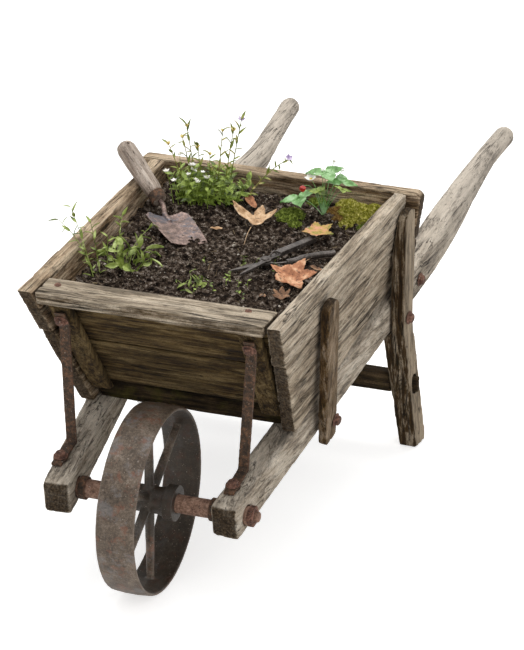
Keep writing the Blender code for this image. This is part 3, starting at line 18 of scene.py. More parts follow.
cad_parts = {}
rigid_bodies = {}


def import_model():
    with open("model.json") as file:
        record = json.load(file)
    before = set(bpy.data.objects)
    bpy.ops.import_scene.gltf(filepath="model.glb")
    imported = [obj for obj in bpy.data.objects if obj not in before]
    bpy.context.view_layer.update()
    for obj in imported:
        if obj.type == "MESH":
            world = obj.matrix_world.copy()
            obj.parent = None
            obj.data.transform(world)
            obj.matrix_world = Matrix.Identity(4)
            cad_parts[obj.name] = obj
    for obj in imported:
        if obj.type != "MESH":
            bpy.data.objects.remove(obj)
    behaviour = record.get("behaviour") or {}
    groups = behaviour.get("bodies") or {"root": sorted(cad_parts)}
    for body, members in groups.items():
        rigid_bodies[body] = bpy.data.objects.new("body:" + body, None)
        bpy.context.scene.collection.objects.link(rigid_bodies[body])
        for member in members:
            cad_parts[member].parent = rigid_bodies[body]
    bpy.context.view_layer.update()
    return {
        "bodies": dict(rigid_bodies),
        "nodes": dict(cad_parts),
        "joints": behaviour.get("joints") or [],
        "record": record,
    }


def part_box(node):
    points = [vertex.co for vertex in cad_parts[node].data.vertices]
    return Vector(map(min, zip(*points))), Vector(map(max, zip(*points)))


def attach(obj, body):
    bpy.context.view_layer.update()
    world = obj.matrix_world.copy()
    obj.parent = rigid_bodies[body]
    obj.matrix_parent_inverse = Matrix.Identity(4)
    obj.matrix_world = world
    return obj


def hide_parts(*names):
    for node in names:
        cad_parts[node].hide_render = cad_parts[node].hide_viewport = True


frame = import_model()
scene = bpy.context.scene
random.seed(4)

# %% [markdown]
# ## The camera
#
# A long lens from far away keeps the barrow's lines nearly parallel. The camera's place, its angle
# and its lens were worked out from the timbers' edges. The lens looks a little off the middle of
# the frame, and that is what the shift is for.

# %% Camera
FRAME_WIDTH_PX = 524
FRAME_HEIGHT_PX = 650
AXLE_Y = -0.67302
CAMERA_PLACE = (2.0559, -5.2071 + AXLE_Y, 3.1392)
CAMERA_TURN = 0.3301
CAMERA_TILT = 0.4362
CAMERA_ROLL = 0.0073
FOCAL_PX = 3500.8
CENTRE_PX = (293.14, 320.32)
SENSOR_WIDTH_MM = 36.0


def add_camera():
    data = bpy.data.cameras.new("photo_camera")
    data.sensor_fit = "HORIZONTAL"
    data.sensor_width = SENSOR_WIDTH_MM
    data.lens = FOCAL_PX * SENSOR_WIDTH_MM / FRAME_WIDTH_PX
    data.shift_x = (FRAME_WIDTH_PX / 2 - CENTRE_PX[0]) / FRAME_WIDTH_PX
    data.shift_y = (CENTRE_PX[1] - FRAME_HEIGHT_PX / 2) / FRAME_WIDTH_PX
    data.clip_end = 50.0
    camera = bpy.data.objects.new("photo_camera", data)
    scene.collection.objects.link(camera)
    turn = Matrix.Rotation(CAMERA_TURN, 4, "Z")
    tilt = Matrix.Rotation(math.pi / 2 - CAMERA_TILT, 4, "X")
    roll = Matrix.Rotation(CAMERA_ROLL, 4, "Z")
    camera.matrix_world = Matrix.Translation(CAMERA_PLACE) @ turn @ tilt @ roll
    scene.camera = camera
    print("camera: lens", round(data.lens, 1), "mm, shift", round(data.shift_x, 4),
          round(data.shift_y, 4))


add_camera()

# %% [markdown]
# ## Two small helpers
#
# Colours are written as they look on a screen and turned to linear light once. Every node tree,
# for a surface or for geometry, is built with one function that adds a node, sets its fields,
# links or fills its inputs, and places a colour ramp's stops.


# %% Colour and node helpers
def linear(hex_colour, alpha=1.0):
    """A screen colour such as #8a7b66 as linear red, green, blue and alpha."""
    channels = [int(hex_colour[i:i + 2], 16) / 255 for i in (1, 3, 5)]
    return (*[c / 12.92 if c <= 0.04045 else ((c + 0.055) / 1.055) ** 2.4 for c in channels], alpha)


def add(tree, kind, inputs=None, stops=(), **fields):
    """A node with its fields set, and each input linked to a socket or given a value.

    A colour ramp also takes its (position, colour) stops. A colour is a hex string or a grey.
    """
    made = tree.nodes.new(kind)
    for field, value in fields.items():
        setattr(made, field, value)
    for key, value in (inputs or {}).items():
        if isinstance(value, bpy.types.NodeSocket):
            tree.links.new(value, made.inputs[key])
        else:
            made.inputs[key].default_value = value
    if stops:
        elements = made.color_ramp.elements
        while len(elements) < len(stops):
            elements.new(0.5)
        for element, (place, colour) in zip(elements, stops):
            element.position = place
            element.color = linear(colour) if isinstance(colour, str) else (colour, colour, colour,
                                                                            1)
    return made


# %% [markdown]
# ## Floor and light
#
# The barrow stands on a plain pale floor. Light Path makes the floor and the sky white to the
# camera and in reflections, where they catch full light, while the barrow's shadow still shows.
# A wide soft lamp overhead and a weaker one from the front give the light of an overcast day.

# %% Floor and light
FLOOR_SIDE = 30.0
FLOOR_COLOUR = "#e9e7e3"
SKY_STRENGTH = 0.72


def seen_directly(tree):
    """1 for rays from the camera, in mirrors and through glass."""
    path = add(tree, "ShaderNodeLightPath")
    glossy = add(tree, "ShaderNodeMath",
                 {0: path.outputs["Is Camera Ray"], 1: path.outputs["Is Glossy Ray"]},
                 operation="MAXIMUM")
    return add(tree, "ShaderNodeMath",
               {0: glossy.outputs[0], 1: path.outputs["Is Transmission Ray"]},
               operation="MAXIMUM").outputs[0]


def add_sky():
    world = bpy.data.worlds.new("overcast_sky")
    world.use_nodes = True
    tree = world.node_tree
    tree.nodes.clear()
    soft = add(tree, "ShaderNodeBackground", {"Color": linear("#f4f6fa"), "Strength": SKY_STRENGTH})
    white = add(tree, "ShaderNodeBackground", {"Color": (1, 1, 1, 1), "Strength": 1.0})
    mix = add(tree, "ShaderNodeMixShader",
              {0: seen_directly(tree), 1: soft.outputs[0], 2: white.outputs[0]})
    add(tree, "ShaderNodeOutputWorld", {"Surface": mix.outputs[0]})
    scene.world = world


def floor_finish():
    mat = bpy.data.materials.new("studio_floor")
    mat.use_nodes = True
    tree = mat.node_tree
    tree.nodes.clear()
    matte = add(tree, "ShaderNodeBsdfDiffuse", {"Color": linear(FLOOR_COLOUR)})
    glow = add(tree, "ShaderNodeEmission", {"Color": (1, 1, 1, 1), "Strength": 0.62})
    both = add(tree, "ShaderNodeAddShader", {0: matte.outputs[0], 1: glow.outputs[0]})
    mix = add(tree, "ShaderNodeMixShader",
              {0: seen_directly(tree), 1: matte.outputs[0], 2: both.outputs[0]})
    add(tree, "ShaderNodeOutputMaterial", {"Surface": mix.outputs[0]})
    return mat


def add_floor():
    half = FLOOR_SIDE / 2
    mesh = bpy.data.meshes.new("studio_floor")
    mesh.from_pydata([(-half, -half, -0.0005), (half, -half, -0.0005), (half, half, -0.0005),
                      (-half, half, -0.0005)], [], [(0, 1, 2, 3)])
    mesh.materials.append(floor_finish())
    floor = bpy.data.objects.new("studio_floor", mesh)
    scene.collection.objects.link(floor)


def add_lamp(name, place, side, watts):
    lamp = bpy.data.lights.new(name, "AREA")
    lamp.shape = "SQUARE"
    lamp.size = side
    lamp.energy = watts
    holder = bpy.data.objects.new(name, lamp)
    holder.location = place
    aim = Vector((0, -0.1, 0.3)) - Vector(place)
    holder.rotation_euler = aim.to_track_quat("-Z", "Y").to_euler()
    scene.collection.objects.link(holder)


scene.view_settings.view_transform = "Standard"
add_sky()
add_floor()
add_lamp("overhead_softbox", (-0.6, 0.4, 3.6), 2.4, 70)
add_lamp("front_softbox", (2.6, -2.6, 2.4), 2.2, 26)

# %% [markdown]
# ## Remaking a CAD solid as a worn piece
#
# A solid from the CAD has flat faces and sharp corners, which an old barrow has lost. A voxel
# remesh turns a solid into small even squares, so that a node tree can then dent and round it.
# The same tree stores where each point lies along the grain, because oak's cracks and fibres run
# along the timber and must bend with it.

# %% Copy of a CAD node
RIM_Z = 0.552
RIM_FALL = 0.0235
finished = []


def at(x, y, z):
    """A point given from the axle, in the barrow's frame."""
    return Vector((x, y + AXLE_Y, z))


def cad_copy(*names):
    """The meshes of some CAD nodes as one new object, their doubled points merged."""
    bm = bmesh.new()
    for name in names:
        bm.from_mesh(frame["nodes"][name].data)
    bmesh.ops.remove_doubles(bm, verts=bm.verts[:], dist=0.00001)
    mesh = bpy.data.meshes.new(names[0] + "_worn")
    bm.to_mesh(mesh)
    bm.free()
    obj = bpy.data.objects.new(names[0] + "_worn", mesh)
    scene.collection.objects.link(obj)
    return obj


def apply_modifiers(obj):
    """The modified mesh, kept as the object's own."""
    graph = bpy.context.evaluated_depsgraph_get()
    mesh = bpy.data.meshes.new_from_object(obj.evaluated_get(graph), preserve_all_data_layers=True,
                                           depsgraph=graph)
    obj.modifiers.clear()
    obj.data = mesh
    return obj


def set_input(modifier, name, value):
    """A node tree's named input, set by its identifier."""
    for item in modifier.node_group.interface.items_tree:
        if item.item_type == "SOCKET" and item.in_out == "INPUT" and item.name == name:
            modifier[item.identifier] = value
            return
    raise KeyError(name)


def dress(obj, body, finish, nodes=()):
    """Give a piece its finish and its body, and hide the CAD nodes that it stands for."""
    obj.data.materials.clear()
    obj.data.materials.append(finish)
    for face in obj.data.polygons:
        face.material_index = 0
    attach(obj, body)
    if nodes:
        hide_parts(*nodes)
    finished.append((obj.name, len(obj.data.polygons)))
    return obj


# %% [markdown]
# The wear itself is a geometry node tree with named inputs. It measures each point along, across
# and through the timber, stores that as the attribute "grain", stores how squarely the surface
# cuts across the grain as "end_grain", and then only ever takes wood away: broad dips where hands
# and weather have rounded it, narrow furrows between the fibres, and splits.

# %% Wear tree
def new_geometry_tree(name, sockets):
    """A geometry node tree with a Geometry input and output and the named inputs given."""
    tree = bpy.data.node_groups.new(name, "GeometryNodeTree")
    tree.interface.new_socket("Geometry", in_out="INPUT", socket_type="NodeSocketGeometry")
    tree.interface.new_socket("Geometry", in_out="OUTPUT", socket_type="NodeSocketGeometry")
    for label, kind in sockets:
        tree.interface.new_socket(label, in_out="INPUT", socket_type=kind)
    return tree, add(tree, "NodeGroupInput"), add(tree, "NodeGroupOutput")


def timber_wear_tree():
    vector, number = "NodeSocketVector", "NodeSocketFloat"
    tree, given, result = new_geometry_tree("timber_wear", (
        ("Along", vector), ("Across", vector), ("Through", vector), ("Offset", vector),
        ("Dip Depth", number), ("Furrow Depth", number), ("Split Depth", number)))
    point = add(tree, "GeometryNodeInputPosition").outputs[0]
    normal = add(tree, "GeometryNodeInputNormal").outputs[0]
    parts = []
    for axis in ("Along", "Across", "Through"):
        parts.append(add(tree, "ShaderNodeVectorMath", {0: point, 1: given.outputs[axis]},
                         operation="DOT_PRODUCT").outputs["Value"])
    measured = add(tree, "ShaderNodeCombineXYZ", {0: parts[0], 1: parts[1], 2: parts[2]})
    grain = add(tree, "ShaderNodeVectorMath", {0: measured.outputs[0], 1: given.outputs["Offset"]},
                operation="ADD").outputs[0]
    across_cut = add(tree, "ShaderNodeVectorMath", {0: normal, 1: given.outputs["Along"]},
                     operation="DOT_PRODUCT").outputs["Value"]
    end_grain = add(tree, "ShaderNodeMath", {0: across_cut}, operation="ABSOLUTE").outputs[0]
    kept = add(tree, "GeometryNodeStoreNamedAttribute",
               {"Geometry": given.outputs["Geometry"], "Name": "grain",
               "Value": grain}, data_type="FLOAT_VECTOR", domain="POINT").outputs[0]
    kept = add(tree, "GeometryNodeStoreNamedAttribute", {"Geometry": kept, "Name": "end_grain",
               "Value": end_grain}, data_type="FLOAT", domain="POINT").outputs[0]

    def layered(stretch, detail, seed):
        scaled = add(tree, "ShaderNodeVectorMath", {0: grain, 1: stretch},
                     operation="MULTIPLY").outputs[0]
        moved = add(tree, "ShaderNodeVectorMath", {0: scaled, 1: (seed, 0, 0)},
                    operation="ADD").outputs[0]
        return add(tree, "ShaderNodeTexNoise", {"Vector": moved, "Scale": 1.0, "Detail": detail},
                   noise_dimensions="3D").outputs[0]

    dips = layered((12, 30, 30), 2.0, 3.0)
    furrows = layered((5, 130, 130), 2.0, 11.0)
    ridge = layered((2.2, 34, 34), 2.0, 23.0)
    off_middle = add(tree, "ShaderNodeMath", {0: ridge, 1: 0.5}, operation="SUBTRACT").outputs[0]
    distance = add(tree, "ShaderNodeMath", {0: off_middle}, operation="ABSOLUTE").outputs[0]
    split = add(tree, "ShaderNodeMapRange",
                {"Value": distance, 1: 0.0, 2: 0.035, 3: 1.0, 4: 0.0}).outputs[0]
    depth = None
    for amount, label in ((dips, "Dip Depth"), (furrows, "Furrow Depth"), (split, "Split Depth")):
        term = add(tree, "ShaderNodeMath", {0: amount, 1: given.outputs[label]},
                   operation="MULTIPLY").outputs[0]
        depth = term if depth is None else add(tree, "ShaderNodeMath", {0: depth, 1: term},
                                               operation="ADD").outputs[0]
    inward = add(tree, "ShaderNodeVectorMath", {0: normal, "Scale": depth},
                 operation="SCALE").outputs[0]
    push = add(tree, "ShaderNodeVectorMath", {0: inward, 1: (-1, -1, -1)},
               operation="MULTIPLY").outputs[0]
    moved = add(tree, "GeometryNodeSetPosition", {"Geometry": kept, "Offset": push}).outputs[0]
    smooth = add(tree, "GeometryNodeSetShadeSmooth", {"Geometry": moved}).outputs[0]
    tree.links.new(smooth, result.inputs["Geometry"])
    return tree


TIMBER_WEAR = timber_wear_tree()

# %% [markdown]
# ## Weathered oak
#
# The barrow is sawn oak that has stood in the rain for decades. The rain has carried off the soft
# early wood, which leaves silver-grey ridges, dark furrows and long splits along the grain; the
# boards that lie in shade are given browner, darker colours, which is painted shade. End grain
# soaks up water and goes nearly black. The finish is dry and matte: roughness about 0.9, no coat.
# Fibres are about 4 mm wide and 60 mm long, and streaks about 10 mm wide and 200 mm long, so the
# noise is squeezed along the grain. Upward faces are made paler, partly by sun bleaching and
# partly as painted light from above, and green algae sits in damp places.


# %% Shading helpers
def noise_value(tree, vector, stretch, detail=4.0, roughness=0.55, distortion=0.0, seed=0.0):
    """Noise on a vector that is stretched and moved first."""
    scaled = add(tree, "ShaderNodeVectorMath", {0: vector, 1: stretch},
                 operation="MULTIPLY").outputs[0]
    moved = add(tree, "ShaderNodeVectorMath", {0: scaled, 1: (seed, seed, seed)},
                operation="ADD").outputs[0]
    return add(tree, "ShaderNodeTexNoise", {"Vector": moved, "Scale": 1.0, "Detail": detail,
               "Roughness": roughness, "Distortion": distortion}, noise_dimensions="3D").outputs[0]


def thin_lines(tree, value, width):
    """1 along the lines where a noise crosses its middle value, and 0 beside them."""
    distance = add(tree, "ShaderNodeMath", {0: add(tree, "ShaderNodeMath", {0: value, 1: 0.5},
                           operation="SUBTRACT").outputs[0]}, operation="ABSOLUTE").outputs[0]
    return add(tree, "ShaderNodeMapRange",
               {"Value": distance, 1: 0.0, 2: width, 3: 1.0, 4: 0.0}).outputs[0]


def new_finish(name):
    mat = bpy.data.materials.new(name)
    mat.use_nodes = True
    tree = mat.node_tree
    tree.nodes.clear()
    shader = add(tree, "ShaderNodeBsdfPrincipled")
    add(tree, "ShaderNodeOutputMaterial", {"Surface": shader.outputs[0]})
    return mat, tree, shader


# %% [markdown]
# One oak finish serves every timber. The four colours are ridge, face, shaded face and furrow. The
# sides of a board that face left and right can be painted paler than its front, which is painted
# light, and a handle is pale where hands have polished it: that part is set by how far back the
# timber lies. The last three values are how wide the long cracks show, how dark a cut end is and
# how strongly the fibres stand out. Hollows are darkened as painted shade, and corners are paler,
# partly from rubbing and partly as painted highlight; the mesh's own Pointiness tells both.


# %% Oak finish
HANDS_FROM_Y = 0.02
HANDS_TO_Y = 0.42
CRACK_BLACK = "#120c07"
HAIRLINE_BROWN = "#1f160d"
SPECK_BROWN = "#241a10"
ALGAE_GREEN = "#57511f"
HOLLOW_SHADE_BROWN = "#1d140b"
OAK_ROUGHNESS = 0.92
OAK_SHEEN = 0.2
OAK_RELIEF = 0.0045


def oak_finish(name, pale, face, brown, dark, bleach_and_top_light=0.4, algae=0.25, painted_side_light=0.0, handled=None,
               crack_width=0.012, end_dark=0.9, fibrous=0.8):
    mat, tree, shader = new_finish(name)
    grain = add(tree, "ShaderNodeAttribute", attribute_name="grain").outputs["Vector"]
    cut = add(tree, "ShaderNodeAttribute", attribute_name="end_grain").outputs["Fac"]
    place = add(tree, "ShaderNodeTexCoord").outputs
    fibres = noise_value(tree, grain, (16, 260, 260), 5.0, 0.75)
    streaks = noise_value(tree, grain, (5, 95, 95), 6.0, 0.72, 0.5, seed=5.0)
    patches = noise_value(tree, grain, (9, 24, 24), 6.0, 0.70, 0.0, seed=9.0)
    tone = add(tree, "ShaderNodeMath", {0: add(tree, "ShaderNodeMath", {0: streaks, 1: 0.55},
                       operation="MULTIPLY").outputs[0],
                1: add(tree, "ShaderNodeMath", {0: patches, 1: 0.45},
                       operation="MULTIPLY").outputs[0]}, operation="ADD").outputs[0]
    wood = add(tree, "ShaderNodeValToRGB", {0: tone},
               ((0.39, dark), (0.45, brown), (0.50, face), (0.575, pale))).outputs[0]
    wood = add(tree, "ShaderNodeMix", {0: fibrous, 6: wood,
                7: add(tree, "ShaderNodeValToRGB", {0: fibres},
                       ((0.38, 0.28), (0.48, 0.84), (0.55, 1.0))).outputs[0]}, data_type="RGBA",
               blend_type="MULTIPLY").outputs[2]
    grit = noise_value(tree, place["Object"], (420, 420, 420), 3.0, 0.7, 0.0, seed=2.0)
    wood = add(tree, "ShaderNodeMix", {0: 0.6, 6: wood,
                7: add(tree, "ShaderNodeValToRGB", {0: grit},
                       ((0.40, 0.45), (0.54, 1.0))).outputs[0]}, data_type="RGBA",
               blend_type="MULTIPLY").outputs[2]
    normal = add(tree, "ShaderNodeSeparateXYZ", {0: place["Normal"]}).outputs
    # Upward faces turn pale: partly sun bleaching, partly painted light from above.
    top_bleach_and_light = add(tree, "ShaderNodeMath", {0: add(tree, "ShaderNodeMapRange",
                         {"Value": normal[2], 1: 0.30, 2: 0.9, 3: 0.0, 4: 1.0}).outputs[0],
                  1: bleach_and_top_light}, operation="MULTIPLY").outputs[0]
    # Painted light: faces turned left or right are mixed towards the same pale colour.
    side_light_mask = add(tree, "ShaderNodeMath", {0: add(tree, "ShaderNodeMapRange",
                         {"Value": add(tree, "ShaderNodeMath", {0: normal[0]},
                                       operation="ABSOLUTE").outputs[0], 1: 0.5, 2: 0.9, 3: 0.0,
                          4: 1.0}).outputs[0], 1: painted_side_light}, operation="MULTIPLY").outputs[0]
    bleach_and_painted_light = add(tree, "ShaderNodeMath", {0: top_bleach_and_light, 1: side_light_mask}, operation="MAXIMUM").outputs[0]
    bleached_and_lit_colour = add(tree, "ShaderNodeMix", {0: 0.7, 6: linear(pale),
                    7: add(tree, "ShaderNodeValToRGB", {0: tone},
                           ((0.41, 0.22), (0.47, 0.72), (0.54, 1.0))).outputs[0]}, data_type="RGBA",
                   blend_type="MULTIPLY").outputs[2]
    wood = add(tree, "ShaderNodeMix", {0: bleach_and_painted_light, 6: wood, 7: bleached_and_lit_colour},
               data_type="RGBA").outputs[2]
    if handled:
        back = add(tree, "ShaderNodeSeparateXYZ", {0: place["Object"]}).outputs[1]
        held = add(tree, "ShaderNodeMapRange",
                   {"Value": back, 1: HANDS_FROM_Y, 2: HANDS_TO_Y, 3: 0.0, 4: 0.8}).outputs[0]
        polished = add(tree, "ShaderNodeMix", {0: 0.7, 6: linear(handled),
                        7: add(tree, "ShaderNodeValToRGB", {0: tone},
                               ((0.40, 0.26), (0.48, 0.80), (0.55, 1.0))).outputs[0]},
                       data_type="RGBA", blend_type="MULTIPLY").outputs[2]
        wood = add(tree, "ShaderNodeMix", {0: held, 6: wood, 7: polished},
                   data_type="RGBA").outputs[2]
    ridge = noise_value(tree, grain, (2.4, 52, 52), 3.0, 0.55, 0.5, seed=14.0)
    crack = thin_lines(tree, ridge, crack_width)
    opened = add(tree, "ShaderNodeMapRange",
                 {"Value": noise_value(tree, grain, (4, 16, 16), 2.0, 0.5, 0.0, seed=21.0), 1: 0.44,
                  2: 0.56, 3: 0.0, 4: 1.0}).outputs[0]
    crack = add(tree, "ShaderNodeMath", {0: crack, 1: opened}, operation="MULTIPLY").outputs[0]
    wood = add(tree, "ShaderNodeMix", {0: add(tree, "ShaderNodeMath", {0: crack, 1: 0.92},
                       operation="MULTIPLY").outputs[0], 6: wood, 7: linear(CRACK_BLACK)},
               data_type="RGBA").outputs[2]
    hairlines = thin_lines(tree,
                           noise_value(tree, grain, (3.5, 150, 150), 3.0, 0.6, 0.4, seed=41.0),
                           0.014)
    broken = add(tree, "ShaderNodeMapRange",
                 {"Value": noise_value(tree, grain, (14, 40, 40), 2.0, 0.5, 0.0, seed=44.0),
                  1: 0.46, 2: 0.54, 3: 0.0, 4: 1.0}).outputs[0]
    hairlines = add(tree, "ShaderNodeMath",
                    {0: add(tree, "ShaderNodeMath", {0: hairlines, 1: broken},
                            operation="MULTIPLY").outputs[0], 1: fibrous},
                    operation="MULTIPLY").outputs[0]
    wood = add(tree, "ShaderNodeMix", {0: hairlines, 6: wood, 7: linear(HAIRLINE_BROWN)},
               data_type="RGBA").outputs[2]
    specks = add(tree, "ShaderNodeMapRange",
                 {"Value": noise_value(tree, grain, (70, 190, 190), 3.0, 0.65, 0.0, seed=27.0),
                  1: 0.61, 2: 0.66, 3: 0.0, 4: 1.0}).outputs[0]
    wood = add(tree, "ShaderNodeMix", {0: add(tree, "ShaderNodeMath", {0: specks, 1: 0.5},
                       operation="MULTIPLY").outputs[0], 6: wood, 7: linear(SPECK_BROWN)},
               data_type="RGBA").outputs[2]
    damp = add(tree, "ShaderNodeMapRange",
               {"Value": noise_value(tree, place["Object"], (13, 13, 13), 5.0, 0.68), 1: 0.52,
                2: 0.66, 3: 0.0, 4: 1.0}).outputs[0]
    wood = add(tree, "ShaderNodeMix", {0: add(tree, "ShaderNodeMath", {0: damp, 1: algae},
                       operation="MULTIPLY").outputs[0], 6: wood, 7: linear(ALGAE_GREEN)},
               data_type="RGBA").outputs[2]
    # Painted shade: hollows, where Pointiness is low, are darkened.
    corners = add(tree, "ShaderNodeNewGeometry").outputs["Pointiness"]
    wood = add(tree, "ShaderNodeMix", {0: add(tree, "ShaderNodeMapRange",
                       {"Value": corners, 1: 0.485, 2: 0.43, 3: 0.0, 4: 0.6}).outputs[0], 6: wood,
                7: linear(HOLLOW_SHADE_BROWN)}, data_type="RGBA").outputs[2]
    rings = noise_value(tree, grain, (3, 240, 240), 4.0, 0.6, 0.0, seed=31.0)
    sawn_end = add(tree, "ShaderNodeValToRGB", {0: rings},
                   ((0.38, "#1d150d"), (0.50, "#3a2d1e"), (0.62, "#5d4d3a"))).outputs[0]
    # Corners, where Pointiness is high, turn pale: partly rubbed wear, partly painted highlight.
    rubbed = add(tree, "ShaderNodeMath", {0: add(tree, "ShaderNodeMapRange",
                         {"Value": corners, 1: 0.52, 2: 0.60, 3: 0.0, 4: 0.45}).outputs[0],
                  1: add(tree, "ShaderNodeMapRange",
                         {"Value": cut, 1: 0.55, 2: 0.75, 3: 1.0, 4: 0.0}).outputs[0]},
                 operation="MULTIPLY").outputs[0]
    wood = add(tree, "ShaderNodeMix", {0: rubbed, 6: wood, 7: linear(pale)},
               data_type="RGBA").outputs[2]
    wood = add(tree, "ShaderNodeMix", {0: add(tree, "ShaderNodeMapRange",
                       {"Value": cut, 1: 0.62, 2: 0.85, 3: 0.0, 4: end_dark}).outputs[0], 6: wood,
                7: sawn_end}, data_type="RGBA").outputs[2]
    tree.links.new(wood, shader.inputs["Base Color"])
    shader.inputs["Roughness"].default_value = OAK_ROUGHNESS
    shader.inputs["Specular IOR Level"].default_value = OAK_SHEEN
    height = add(tree, "ShaderNodeMath", {0: add(tree, "ShaderNodeMath", {0: fibres, 1: 0.5},
                         operation="MULTIPLY").outputs[0],
                  1: add(tree, "ShaderNodeMath", {0: streaks, 1: 0.8},
                         operation="MULTIPLY").outputs[0]}, operation="ADD").outputs[0]
    height = add(tree, "ShaderNodeMath", {0: add(tree, "ShaderNodeMath", {0: height, 1: crack},
                         operation="SUBTRACT").outputs[0],
                  1: add(tree, "ShaderNodeMath", {0: hairlines, 1: 0.6},
                         operation="MULTIPLY").outputs[0]}, operation="SUBTRACT").outputs[0]
    bump = add(tree, "ShaderNodeBump", {"Height": height, "Strength": 1.0, "Distance": OAK_RELIEF})
    tree.links.new(bump.outputs[0], shader.inputs["Normal"])
    return mat


# The rail's top turns pale in the upward-face mix: partly sun bleaching, partly painted light.
RAIL_OAK = oak_finish("bleached_and_toplit_rail_oak", "#dccbb2", "#a3917a", "#69573f", "#2a2014", 0.4, 0.07,
                      crack_width=0.030)
BOARD_OAK = oak_finish("weathered_board_oak", "#e2d2bb", "#b9a58b", "#8f7a61", "#463625", 0.4, 0.04,
                       crack_width=0.018, painted_side_light=0.35)
LOW_BOARD_OAK = oak_finish("rain_streaked_board_oak", "#d9c8b0", "#a8947b", "#735d43", "#2c2015",
                           0.4, 0.05, crack_width=0.026, painted_side_light=0.35)
INNER_OAK = oak_finish("tan_board_oak", "#dcc5a6", "#b2977a", "#846a4c", "#3d2d1c", 0.35, 0.08)
LOWER_OAK = oak_finish("damp_board_oak", "#c4b095", "#937d62", "#604b31", "#2a1e11", 0.3, 0.10)
SHAFT_OAK = oak_finish("shaft_oak", "#e2d5c2", "#ae9b83", "#766149", "#2d2115", 0.55, 0.03,
                       painted_side_light=0.4, handled="#d0c4b4")
# The front panel and its battens get darker, browner colours: painted shade.
PANEL_OAK = oak_finish("shade_darkened_panel_oak", "#8c7650", "#64502f", "#46341b", "#1a1007", 0.1, 0.05)
# The sill under the panel is near black: painted shade, with strong algae for its moss.
SILL_OAK = oak_finish("shaded_mossy_sill_oak", "#57462f", "#322616", "#1d140a", "#0a0603", 0.1, 0.5)
LEG_OAK = oak_finish("damp_leg_oak", "#b5a38b", "#503c22", "#3a2914", "#1f1409", 0.3, 0.08,
                     painted_side_light=0.85)
STAKE_OAK = oak_finish("stake_oak", "#a5917a", "#6f5636", "#493418", "#1f1408", 0.3, 0.08,
                       painted_side_light=0.3)
HIDDEN_OAK = oak_finish("shaded_oak", "#62503a", "#493a26", "#362817", "#1b130a", 0.2, 0.15)
HANDLE_ASH = oak_finish("dry_handle_ash", "#d6c7b8", "#bdab9b", "#a08d7d", "#75655a", 0.4, 0.0,
                        crack_width=0.004, end_dark=0.15, fibrous=0.3)

# %% [markdown]
# ## The timbers
#
# Each board, shaft, leg and stake is its own piece. The table says which way its grain runs, how
# coarse its squares may be and how deep the weather has dipped it: hidden boards need few squares,
# and handles stay smooth.

# %% Timbers
X_AXIS, Y_AXIS, Z_AXIS = (1, 0, 0), (0, 1, 0), (0, 0, 1)
GRAIN_FRAMES = {"x": (X_AXIS, Y_AXIS, Z_AXIS), "y": (Y_AXIS, X_AXIS, Z_AXIS),
                "z": (Z_AXIS, X_AXIS, Y_AXIS)}
TROWEL_LIE = Vector((-0.706, 0.504, 0.497)).normalized()
TROWEL_SIDE = TROWEL_LIE.cross(Vector(Z_AXIS)).normalized()
GRAIN_FRAMES["trowel"] = (TROWEL_LIE, TROWEL_SIDE, TROWEL_LIE.cross(TROWEL_SIDE))
TIMBERS = [
    ("front_rail", "x", RAIL_OAK, 0.0026, 0.0024),
    ("front_board_upper", "x", PANEL_OAK, 0.0032, 0.0016),
    ("front_board_lower", "x", PANEL_OAK, 0.0032, 0.0016),
    ("front_sill", "x", SILL_OAK, 0.003, 0.0045),
    ("back_board_upper", "x", INNER_OAK, 0.0034, 0.0018),
    ("back_board_lower", "x", LOWER_OAK, 0.0045, 0.0018),
    ("floor_board_1", "x", HIDDEN_OAK, 0.007, 0.001),
    ("floor_board_2", "x", HIDDEN_OAK, 0.007, 0.001),
    ("floor_board_3", "x", HIDDEN_OAK, 0.007, 0.001),
    ("leg_stretcher", "x", HIDDEN_OAK, 0.0035, 0.0016),
    ("rear_rail", "x", HIDDEN_OAK, 0.0035, 0.0016),
    ("shaft_left", "y", SHAFT_OAK, 0.0034, 0.0010), ("shaft_right", "y", SHAFT_OAK, 0.0034, 0.0010),
    ("side_board_left_upper", "y", INNER_OAK, 0.0032, 0.0018),
    ("side_board_left_lower", "y", LOWER_OAK, 0.0034, 0.0013),
    ("side_board_right_upper", "y", BOARD_OAK, 0.0030, 0.0018),
    ("side_board_right_lower", "y", LOW_BOARD_OAK, 0.0032, 0.0026),
    ("front_batten_left", "z", PANEL_OAK, 0.0026, 0.0014),
    ("front_batten_right", "z", PANEL_OAK, 0.0026, 0.0014),
    ("stake_left", "z", STAKE_OAK, 0.0026, 0.0012), ("stake_right", "z", STAKE_OAK, 0.0026, 0.0012),
    ("leg_left", "z", LEG_OAK, 0.0034, 0.0016), ("leg_right", "z", LEG_OAK, 0.0030, 0.0016),
    ("trowel_handle", "trowel", HANDLE_ASH, 0.0011, 0.0003),
]


EDGE_RUBS = 12


def weather_timber(name, grain, finish, voxel, dips, number):
    piece = cad_copy(name)
    remesh = piece.modifiers.new("even_squares", "REMESH")
    remesh.mode = "VOXEL"
    remesh.voxel_size = voxel
    rubbed = piece.modifiers.new("rubbed_edges", "SMOOTH")
    rubbed.factor = 0.5
    rubbed.iterations = EDGE_RUBS
    wear = piece.modifiers.new("wear", "NODES")
    wear.node_group = TIMBER_WEAR
    for label, axis in zip(("Along", "Across", "Through"), GRAIN_FRAMES[grain]):
        set_input(wear, label, [float(v) for v in axis])
    set_input(wear, "Offset", [number * 1.7, number * 0.31, number * 0.23])
    set_input(wear, "Dip Depth", dips)
    set_input(wear, "Furrow Depth", dips * 0.45)
    set_input(wear, "Split Depth", dips * 1.2)
    apply_modifiers(piece)
    return dress(piece, "barrow", finish, [name])


